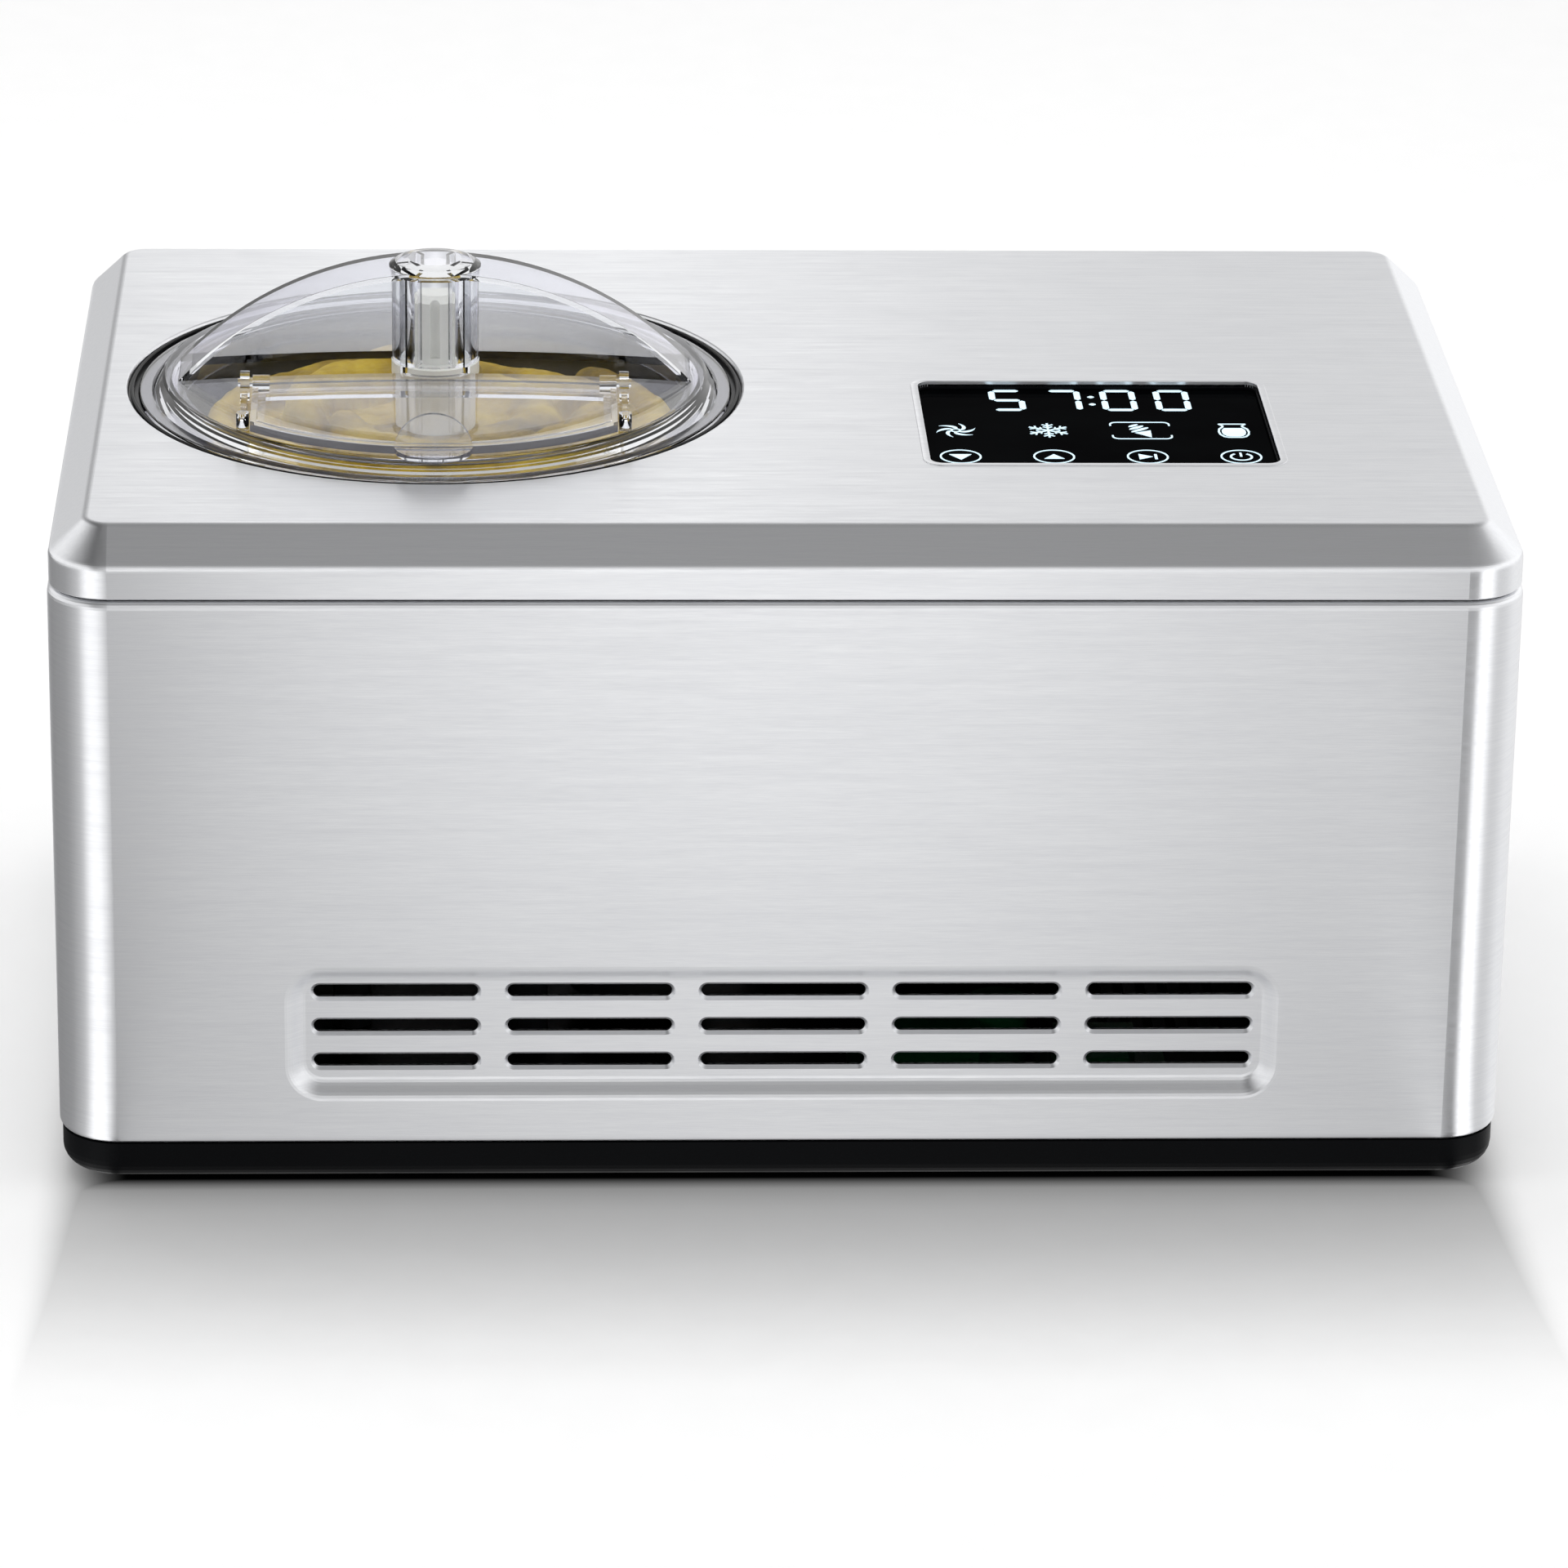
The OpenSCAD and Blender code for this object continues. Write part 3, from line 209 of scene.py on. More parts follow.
def clear_plastic(name, face, edge, rough, clear):
    """Injection-moulded clear SAN: glassy, faintly violet where it is seen edge on, with flow marks
    too slight to blur what lies behind it."""
    made, tree, place, shader = start(name)
    flow = add(tree, "ShaderNodeTexNoise", {"Vector": place, "Scale": 16.0, "Detail": 2.0})
    bump = add(tree, "ShaderNodeBump", {"Height": flow, "Strength": 0.05, "Distance": 0.001})
    slant = add(tree, "ShaderNodeLayerWeight", {"Blend": 0.35}).outputs["Facing"]
    tint = add(tree, "ShaderNodeValToRGB", {"Fac": slant}, stops=[(0.45, linear(face)), (0.95, linear(edge))])
    tree.links.new(tint.outputs["Color"], shader.inputs["Base Color"])
    tree.links.new(bump.outputs[0], shader.inputs["Normal"])
    shader.inputs["Roughness"].default_value = rough
    shader.inputs["IOR"].default_value = 1.5
    shader.inputs["Transmission Weight"].default_value = clear
    return made


def black_glass(name):
    """Back-painted float glass: a deep, even black. Its gloss is turned almost off, because otherwise
    it mirrors the white studio at a low angle and looks grey."""
    made, tree, place, shader = start(name)
    smear = add(tree, "ShaderNodeTexNoise", {"Vector": place, "Scale": 40.0, "Detail": 4.0})
    gloss = add(tree, "ShaderNodeMapRange", {"Value": smear, "From Min": 0.35, "From Max": NOISE_HIGH,
                                             "To Min": 0.04, "To Max": 0.10})
    shade = add(tree, "ShaderNodeValToRGB", {"Fac": smear},
                stops=[(NOISE_LOW, linear("020203")), (NOISE_HIGH, linear("050607"))])
    tree.links.new(gloss.outputs[0], shader.inputs["Roughness"])
    tree.links.new(shade.outputs["Color"], shader.inputs["Base Color"])
    shader.inputs["Specular IOR Level"].default_value = 0.0005
    return made


def lit_mark(name, code, strength):
    """LED light through a printed mask: pale cyan, a little dimmer between the LEDs."""
    made, tree, place, shader = start(name)
    patchy = add(tree, "ShaderNodeTexNoise", {"Vector": place, "Scale": 220.0, "Detail": 1.0})
    colour = linear(code)
    glow = add(tree, "ShaderNodeValToRGB", {"Fac": patchy},
               stops=[(NOISE_LOW, scaled(colour, 0.88)), (NOISE_HIGH, colour)])
    tree.links.new(glow.outputs["Color"], shader.inputs["Emission Color"])
    shader.inputs["Base Color"].default_value = linear("5A6A74")
    shader.inputs["Emission Strength"].default_value = strength
    shader.inputs["Roughness"].default_value = 0.5
    return made


def churned_ice(name, light, mid, deep):
    """Churned mango ice cream: dense yellow, paler where air was beaten in, with small ice pits
    and light that sinks a few millimetres into it."""
    made, tree, place, shader = start(name)
    cloud = add(tree, "ShaderNodeTexNoise", {"Vector": place, "Scale": 38.0, "Detail": 5.0, "Roughness": 0.6})
    pits = add(tree, "ShaderNodeTexVoronoi", {"Vector": place, "Scale": 420.0}).outputs["Distance"]
    crumb = add(tree, "ShaderNodeTexNoise",
                {"Vector": place, "Scale": 800.0, "Detail": 4.0, "Roughness": 0.7})
    shade = add(tree, "ShaderNodeValToRGB", {"Fac": cloud},
                stops=[(0.34, linear(deep)), (0.52, linear(mid)), (0.72, linear(light))])
    rough = add(tree, "ShaderNodeMath", {0: crumb, 1: pits}, operation="ADD")
    bump = add(tree, "ShaderNodeBump", {"Height": rough, "Strength": 0.35, "Distance": 0.0006})
    tree.links.new(shade.outputs["Color"], shader.inputs["Base Color"])
    tree.links.new(bump.outputs[0], shader.inputs["Normal"])
    shader.inputs["Roughness"].default_value = 0.55
    shader.inputs["Subsurface Weight"].default_value = 0.2
    shader.inputs["Subsurface Radius"].default_value = (0.005, 0.0035, 0.001)
    return made


# Each finish: what makes it and what that is given.
FINISHES = {
    "shell": (brushed, "brushed_stainless_shell", "EDEEF0", "E4E5E8", 0.34, "XY"),
    "cover": (brushed, "brushed_stainless_cover", "EFF0F2", "E7E8EB", 0.32, "X"),
    "abs_black": (grained, "moulded_ABS_black", "0A0B0D", 0.45, 0.5, 0.2, 0.12, 0.0, 0.0, 0.06),
    "seal_black": (grained, "satin_polypropylene_black", "050507", 0.32, 0.4, 0.08, 0.12, 0.0, 0.0, 0.15),
    "rubber": (grained, "moulded_nitrile_rubber", "121212", 0.75, 0.8, 0.3),
    "zinc": (grained, "zinc_plated_steel", "BFC2C6", 0.32, 0.6, 0.1, 0.12, 1.0),
    "enamel": (grained, "black_enamel_on_steel", "0E0F10", 0.25, 1.5, 0.06, 0.12, 0.0, 0.5),
    "grey_paint": (grained, "grey_lacquer_on_steel", "4A4C50", 0.38, 0.9, 0.1, 0.12, 0.0, 0.2),
    "spun": (turned, "spun_aluminium", "C9CBCE", "B4B6BA", 0.30, 0.9),
    # The bowl's grey is anodised aluminium, made darker as painted shade for the inside of the covered bowl.
    "anodised": (turned, "anodised_aluminium_bowl", "5C5E68", "494B54", 0.30, 0.8),
    "ground": (turned, "ground_stainless_shaft", "D0D2D5", "B8BBBF", 0.2, 0.4),
    "bronze": (turned, "sintered_bronze", "B08A4A", "8F6C34", 0.4, 0.5),
    "copper": (grained, "drawn_copper_tube", "B8704A", 0.28, 1.2, 0.08, 0.12, 1.0),
    # The condenser's fins are near black as painted shade: it stands in for the dark inside seen through the
    # vent slots.
    "fins": (grained, "black_coated_aluminium_fin", "08090A", 0.6, 0.7, 0.12, 0.12, 0.0, 0.0, 0.05),
    # The insulation is near black as painted shade: it stands in for the dark inside seen through the vent
    # slots.
    "foam": (grained, "foamed_nitrile_rubber_black", "0F0F10", 0.9, 3.0, 0.6, 0.2, 0.0, 0.0, 0.05),
    "milky": (grained, "moulded_polyoxymethylene_white", "ECECE6", 0.4, 0.5, 0.06),
    "board": (grained, "solder_resist_on_glass_fibre", "10502C", 0.3, 0.8, 0.15),
    "clear": (clear_plastic, "clear_SAN_lid", "F9FAFC", "C4BBE6", 0.015, 1.0),
    "flap": (clear_plastic, "clear_SAN_flap", "F9FAFC", "C4BBE6", 0.02, 0.965),
    "glass": (black_glass, "back_painted_glass"),
    "lit": (lit_mark, "lit_LED_mark", "D4EEFA", 1.25),
    "ice": (churned_ice, "churned_mango_ice", "D0B42A", "A98C14", "6C5606"),
}

NODE_FINISH = {
    "base_tray": "abs_black", "feet": "rubber", "base_screws": "zinc", "outer_shell": "shell",
    "top_cover": "cover", "bowl_seal": "seal_black", "cooling_well": "spun", "evaporator_coil": "copper",
    "insulation": "foam", "gear_motor": "grey_paint", "shaft_bush": "bronze", "drive_shaft": "ground",
    "bowl": "anodised", "paddle": "milky", "frozen_mix": "ice", "lid": "clear", "lid_flap": "flap",
    "display_glass": "glass", "display_frame": "abs_black", "control_board": "board",
    "compressor": "enamel", "compressor_grommets": "rubber", "start_relay": "abs_black",
    "condenser": "fins", "fan_shroud": "abs_black", "fan_motor": "grey_paint", "fan_rotor": "abs_black",
    "filter_drier": "copper", "discharge_pipe": "copper", "power_board": "board", "cord_gland": "abs_black",
}


def finish(name):
    """The finish of that name, made the first time it is asked for."""
    maker, title, *given = FINISHES[name]
    return bpy.data.materials.get(title) or maker(title, *given)


# ---- settings ----


class DisplaySettings(bpy.types.PropertyGroup):
    """The lit marks on the black glass and the trim of its window."""

    digit_h: FloatProperty(name="Digit height", description="Height of one digit of the time",
                           default=0.0197, min=0.01, max=0.03, unit="LENGTH")
    digit_w: FloatProperty(name="Digit width", description="Width of one digit of the time",
                           default=0.0106, min=0.006, max=0.02, unit="LENGTH")
    bar: FloatProperty(name="Bar width", description="Width of one bar of a digit",
                       default=0.0019, min=0.0008, max=0.004, unit="LENGTH")
    key_r: FloatProperty(name="Key radius", description="Radius of the ring round a touch key",
                         default=0.0059, min=0.004, max=0.009, unit="LENGTH")
    line: FloatProperty(name="Line width", description="Width of the symbols' lines",
                        default=0.00055, min=0.0002, max=0.001, unit="LENGTH")
    rim: FloatProperty(name="Rim width", description="Width of the pressed rim round the window",
                       default=0.0022, min=0.001, max=0.004, unit="LENGTH")


class DessertSettings(bpy.types.PropertyGroup):
    """The frozen mix in the bowl."""

    fold: FloatProperty(name="Fold width", description="Half width of the folds that the paddle leaves",
                        default=0.0088, min=0.004, max=0.02, unit="LENGTH")
    rise: FloatProperty(name="Fold rise", description="Height of a fold above its edges",
                        default=0.0105, min=0.0, max=0.02, unit="LENGTH")
    spokes: IntProperty(name="Spokes", description="Number of faces round the mix",
                        default=200, min=48, max=400)
    rings: IntProperty(name="Rings", description="Number of faces from the paddle's column to the wall",
                       default=60, min=12, max=120)


class StageSettings(bpy.types.PropertyGroup):
    """Floor, lamps and camera."""

    lens: FloatProperty(name="Lens", description="Focal length of the camera in millimetres",
                        default=164.083, min=20, max=400)
    place: FloatVectorProperty(name="Camera place", description="Place of the camera", size=3,
                               subtype="TRANSLATION", default=(-0.0858376, -2.0558065, 0.8847144))
    turn: FloatVectorProperty(name="Camera turn", description="Turn of the camera", size=3, subtype="EULER",
                              default=tuple(math.radians(a) for a in (68.44873, -0.818697, -2.213935)))
    lamp: FloatProperty(name="Lamp power", description="Power of the top lamp in watts",
                        default=11, min=1, max=100)


# ---- small helpers for the pieces ----


def alone(piece):
    """Makes a piece the only one that is selected, and the active one."""
    bpy.ops.object.select_all(action="DESELECT")
    piece.select_set(True)
    bpy.context.view_layer.objects.active = piece


def modified(piece, kind, **settings):
    """Gives a piece a modifier and applies it."""
    alone(piece)
    made = piece.modifiers.new(kind.title(), kind)
    for name, value in settings.items():
        setattr(made, name, value)
    bpy.ops.object.modifier_apply(modifier=made.name)
    return piece


def walled(piece, thickness, offset):
    """Gives a bare wall or line its thickness, as wide at the corners as between them."""
    return modified(piece, "SOLIDIFY", thickness=thickness, offset=offset, use_even_offset=True)


def eased(piece, width, segments):
    """Rounds a piece's sharp edges."""
    return modified(piece, "BEVEL", width=width, segments=segments, limit_method="ANGLE",
                    angle_limit=math.radians(40))


def joined(pieces):
    """Several pieces as one."""
    alone(pieces[0])
    for piece in pieces:
        piece.select_set(True)
    bpy.ops.object.join()
    return pieces[0]


def copied(piece, shift, turn=0.0):
    """A copy with its own mesh, turned about the upright axis and moved."""
    alone(piece)
    bpy.ops.object.duplicate(linked=False)
    made = bpy.context.object
    made.rotation_euler.z += turn
    made.location += Vector(shift)
    return made


def settled(piece, name, look, body):
    """Names a piece, puts its place in its mesh, gives it its finish and lets it ride on its body."""
    alone(piece)
    bpy.ops.object.transform_apply(location=True, rotation=True, scale=True)
    bpy.ops.object.mode_set(mode="EDIT")
    bpy.ops.mesh.select_all(action="SELECT")
    bpy.ops.mesh.normals_make_consistent(inside=False)
    bpy.ops.object.mode_set(mode="OBJECT")
    piece.name = piece.data.name = name
    piece.data.materials.clear()
    piece.data.materials.append(finish(look))
    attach(piece, body)
    return piece


def flat_plane(place, size):
    """A level rectangle with its size in its mesh, left in edit mode with all of it selected."""
    bpy.ops.object.select_all(action="DESELECT")
    bpy.ops.mesh.primitive_plane_add(size=1, location=place)
    piece = bpy.context.object
    piece.scale = (*size, 1)
    bpy.ops.object.transform_apply(location=False, rotation=False, scale=True)
    bpy.ops.object.mode_set(mode="EDIT")
    bpy.ops.mesh.select_all(action="SELECT")
    return piece


# The lit marks: how thick they are, and the height of their underside, just off the glass
MARK_T = 0.00012
Z_MARK = GLASS[1].z + 0.00004


def drawn(points, closed, filled):
    """A flat curve through (x, y) points, raised by the marks' thickness and made a mesh."""
    data = bpy.data.curves.new("outline", "CURVE")
    data.dimensions = "2D"
    data.fill_mode = "BOTH" if filled else "NONE"
    data.extrude = MARK_T / 2
    spline = data.splines.new("POLY")
    spline.points.add(len(points) - 1)
    for point, (x, y) in zip(spline.points, points):
        point.co = (x, y, 0, 1)
    spline.use_cyclic_u = closed
    made = bpy.data.objects.new("outline", data)
    bpy.context.scene.collection.objects.link(made)
    made.location.z = Z_MARK + MARK_T / 2
    alone(made)
    bpy.ops.object.convert(target="MESH")
    return bpy.context.object


def stroke(points, width, closed=False):
    """A lit line of that width."""
    return walled(drawn(points, closed, False), width, 0.0)


def patch(points):
    """A lit face within an outline."""
    return drawn(points, True, True)


def arc(centre, radius, a0, a1, steps=24):
    """Points of an arc from a0 to a1 degrees. A full turn leaves its last point out."""
    count = steps if abs(a1 - a0) >= 360 else steps + 1
    turns = [math.radians(a0 + (a1 - a0) * i / steps) for i in range(count)]
    return [(centre[0] + radius * math.cos(t), centre[1] + radius * math.sin(t)) for t in turns]


def about(centre, points):
    """Points given in millimetres about a centre."""
    return [(centre[0] + x * MM, centre[1] + y * MM) for x, y in points]


def mirrored(points):
    """Points of a right half, followed by the same points of the left half on the way back."""
    return points + [(-x, y) for x, y in points[::-1]]


def polar(centre, radius, degrees):
    """The point at that distance and direction from a centre."""
    a = math.radians(degrees)
    return (centre[0] + radius * math.cos(a), centre[1] + radius * math.sin(a))


# ---- the operators ----


class ICM_OT_finish_parts(bpy.types.Operator):
    """Gives every part of the machine its finish"""

    bl_idname = "icm.finish_parts"
    bl_label = "Finish the parts"

    # These cast no shadow, because the renderer's shadow of a clear part is far too dark.
    NO_SHADOW = ("clear", "flap")

    def execute(self, context):
        for name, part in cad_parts.items():
            part.data.materials.clear()
            part.data.materials.append(finish(NODE_FINISH[name]))
            part.visible_shadow = NODE_FINISH[name] not in self.NO_SHADOW
        return {"FINISHED"}


class ICM_OT_window_trim(bpy.types.Operator):
    """Lines the display's window in black and presses a soft rim round it"""

    bl_idname = "icm.window_trim"
    bl_label = "Trim the window"

    # Width, depth, middle and corner radius of the window in the cover
    WINDOW = (0.103, 0.076)
    MID = (0.095, -0.0405)
    CORNER = 0.004
    # The lining runs from just above the glass to just below the cover's top. The ledge stands inside it.
    OFF_GLASS = 0.0001
    BELOW_TOP = 0.0007
    LINING_T = 0.0006
    LEDGE_IN = 0.0008
    LEDGE_H = 0.0009
    LEDGE_T = 0.0007
    EASE = 0.00012
    # The pressed rim: how far it is sunk into the cover and stands above it, and how round it is
    RIM_SUNK = 0.0001
    RIM_UP = 0.00022
    RIM_EASE = 0.0003

    def execute(self, context):
        rim_w = context.scene.icm_display.rim
        top, glass = COVER[1].z, GLASS[1].z
        lining = self.loop(0.0, self.CORNER, glass + self.OFF_GLASS, top - self.BELOW_TOP)
        walled(lining, self.LINING_T, -1.0)
        ledge = self.loop(-self.LEDGE_IN, self.CORNER - self.LEDGE_IN / 2, glass + self.OFF_GLASS,
                          glass + self.LEDGE_H)
        walled(ledge, self.LEDGE_T, -1.0)
        both = eased(joined([lining, ledge]), self.EASE, 2)
        settled(both, "window_lining", "abs_black", "housing")

        rim = self.loop(rim_w, self.CORNER + rim_w / 2, top - self.RIM_SUNK, top + self.RIM_UP)
        eased(walled(rim, rim_w, 0.0), self.RIM_EASE, 4)
        bpy.ops.object.shade_smooth_by_angle(angle=math.radians(50))
        settled(rim, "window_rim", "cover", "housing")
        return {"FINISHED"}

    def loop(self, grow, corner, low, high):
        """An upright wall round the window, from a plane with rounded corners."""
        piece = flat_plane((*self.MID, low), [side + grow for side in self.WINDOW])
        bpy.ops.mesh.bevel(offset=corner, segments=8, affect="VERTICES")
        bpy.ops.mesh.select_all(action="SELECT")
        bpy.ops.mesh.delete(type="ONLY_FACE")
        bpy.ops.mesh.select_all(action="SELECT")
        bpy.ops.mesh.extrude_edges_move(TRANSFORM_OT_translate={"value": (0, 0, high - low)})
        bpy.ops.object.mode_set(mode="OBJECT")
        return piece


class ICM_OT_time_digits(bpy.types.Operator):
    """Lights the time left on the display"""

    bl_idname = "icm.time_digits"
    bl_label = "Light the time"

    # The lit bars of each digit: a, g and d lie from the top down, b and c stand on the right, f and e
    # on the left.
    BARS = {"5": "afgcd", "7": "abc", "0": "abcdef"}
    # Left edge of each digit, and the foot of them all
    LEFT = {0.0649: "5", 0.0820: "7", 0.0986: "0", 0.1148: "0"}
    LOW = -0.0232
    # How much shorter a lying and a standing bar is than the room it has
    FLAT_GAP = 0.0009
    TALL_GAP = 0.0010
    # Middle and size of the colon's dots, how long they are for their height, and where they stand
    COLON = (0.0957, 0.0018)
    DOT_LONG = 1.15
    DOT_SHARES = (0.31, 0.66)
    POINT = 0.44  # how much of a bar's width each corner is cut back

    def execute(self, context):
        s = context.scene.icm_display
        w, h, b = s.digit_w, s.digit_h, s.bar
        flat = self.model_bar(w - b - self.FLAT_GAP, b)
        tall = self.model_bar(h / 2 - b / 2 - self.TALL_GAP, b)
        upper, lower = h * 0.75 - b / 4, h * 0.25 + b / 4
        places = {"a": (w / 2, h - b / 2), "g": (w / 2, h / 2), "d": (w / 2, b / 2),
                  "f": (b / 2, upper), "b": (w - b / 2, upper),
                  "e": (b / 2, lower), "c": (w - b / 2, lower)}
        made = []
        for left, digit in self.LEFT.items():
            for which in self.BARS[digit]:
                x, y = places[which]
                turn, bar = (0.0, flat) if which in "agd" else (math.pi / 2, tall)
                made.append(copied(bar, (left + x, self.LOW + y, 0), turn))
        dot = self.model_bar(self.COLON[1] * self.DOT_LONG, self.COLON[1])
        for share in self.DOT_SHARES:
            made.append(copied(dot, (self.COLON[0], self.LOW + h * share, 0)))
        for spare in (flat, tall, dot):
            bpy.data.objects.remove(spare)
        settled(joined(made), "time_digits", "lit", "housing")
        return {"FINISHED"}

    def model_bar(self, length, width):
        """One bar of a digit: a plane with pointed ends, thickened."""
        piece = flat_plane((0, 0, Z_MARK), (length, width))
        bpy.ops.mesh.bevel(offset=width * self.POINT, segments=1, affect="VERTICES")
        bpy.ops.object.mode_set(mode="OBJECT")
        return modified(piece, "SOLIDIFY", thickness=MARK_T, offset=1.0)


# Middle of each symbol, and of the touch key in front of it, from left to right
SYMBOL_X = (0.0530, 0.0806, 0.1083, 0.1360)


class ICM_OT_status_symbols(bpy.types.Operator):
    """Lights the row of symbols: fan, frost, cone and jar"""

    bl_idname = "icm.status_symbols"
    bl_label = "Light the symbols"

    ROW = -0.0415

    def execute(self, context):
        line = context.scene.icm_display.line
        fan, frost, cone, jar = [(x, self.ROW) for x in SYMBOL_X]
        made = self.fan(fan, line) + self.frost(frost, line) + self.cone(cone, line) + self.jar(jar, line)
        settled(joined(made), "status_symbols", "lit", "housing")
        return {"FINISHED"}

    def fan(self, c, line):
        """A hub ring with six blades that curve round it."""
        hub, root, reach, half_wide, steps = 1.3, 1.7, 4.6, 0.75, 8
        made = [stroke(arc(c, hub * MM, 0, 360), line, closed=True)]
        for k in range(6):
            lead, trail = [], []
            for i in range(steps + 1):
                t = i / steps
                r = (root + reach * t) * MM
                middle = 60 * k + 18 + 62 * t
                half = math.degrees(half_wide * MM * math.sin(math.pi * min(1.0, t * 0.9 + 0.12)) / r)
                lead.append(polar(c, r, middle + half))
                trail.append(polar(c, r, middle - half))
            made.append(patch(lead + trail[::-1]))
        return made

    def frost(self, c, line):
        """Six arms, each with two pairs of barbs."""
        made = []
        for k in range(6):
            a = 60 * k + 30
            made.append(stroke([polar(c, 0.2 * MM, a), polar(c, 6.4 * MM, a)], line * 1.2))
            for root, reach in ((2.3, 1.7), (4.1, 2.0)):
                foot = polar(c, root * MM, a)
                for side in (-1, 1):
                    made.append(stroke([foot, polar(foot, reach * MM, a + side * 52)], line))
        return made

    def cone(self, c, line):
        """A tilted cone with three swirls, between two brackets with turned-in ends."""
        lean = 24
        tilt = math.radians(lean + 14)
        made = [patch([polar(c, r * MM, a + lean) for r, a in ((6.8, 270), (2.9, 337), (2.9, 203))])]
        for high, wide, tall in ((0.7, 3.4, 0.75), (2.9, 2.8, 0.7), (4.9, 1.8, 0.6)):
            middle = polar(c, high * MM, 90 + lean)
            ring = [(wide * math.cos(t) * MM, tall * math.sin(t) * MM)
                    for t in (math.tau * i / 20 for i in range(20))]
            made.append(patch([(middle[0] + x * math.cos(tilt) - y * math.sin(tilt),
                                middle[1] + x * math.sin(tilt) + y * math.cos(tilt)) for x, y in ring]))
        for side in (-1, 1):
            left = arc((c[0] - 6.8 * MM, c[1] + side * 5.6 * MM), 2.0 * MM, 180, 180 - side * 90, 6)
            right = arc((c[0] + 6.8 * MM, c[1] + side * 5.6 * MM), 2.0 * MM, side * 90, 0, 6)
            ends = about(c, [(-8.8, side * 4.4), (8.8, side * 4.4)])
            made.append(stroke([ends[0]] + left + right + [ends[1]], line))
        return made

    def jar(self, c, line):
        """A round jar with an open rim, filled to its shoulder."""
        body = [(4.0, 6.0), (2.9, 4.4), (3.0, 3.4), (4.2, 1.4), (4.5, -1.2), (4.2, -3.6), (3.2, -5.6),
                (2.0, -6.2)]
        fill = [(2.7, 2.2), (3.5, 0.4), (3.6, -1.6), (3.3, -3.4), (2.5, -4.8), (1.6, -5.3)]
        return [stroke(about(c, mirrored(body)), line * 1.1),
                stroke(about(c, [(-4.0, 6.0), (4.0, 6.0)]), line * 1.1),
                patch(about(c, mirrored(fill)))]


class ICM_OT_touch_keys(bpy.types.Operator):
    """Lights the four ringed touch keys: down, up, start or pause, and power"""

    bl_idname = "icm.touch_keys"
    bl_label = "Light the touch keys"

    ROW = -0.0655

    def execute(self, context):
        s = context.scene.icm_display
        down, up, play, power = centres = [(x, self.ROW) for x in SYMBOL_X]
        made = [stroke(arc(c, s.key_r, 0, 360, 48), s.line, closed=True) for c in centres]
        made.append(patch(about(down, [(-3.3, 2.0), (3.3, 2.0), (0, -2.8)])))
        made.append(patch(about(up, [(-3.0, -1.9), (3.0, -1.9), (0, 2.2)])))
        made.append(patch(about(play, [(-2.6, 2.4), (-2.6, -2.4), (1.5, 0)])))
        made.append(stroke(about(play, [(2.4, 2.2), (2.4, -2.2)]), s.line * 1.5))
        made.append(stroke(arc(power, 3.1 * MM, 125, 415), s.line * 1.2))
        made.append(stroke(about(power, [(0, 0.2), (0, 3.6)]), s.line * 1.2))
        settled(joined(made), "touch_keys", "lit", "housing")
        return {"FINISHED"}


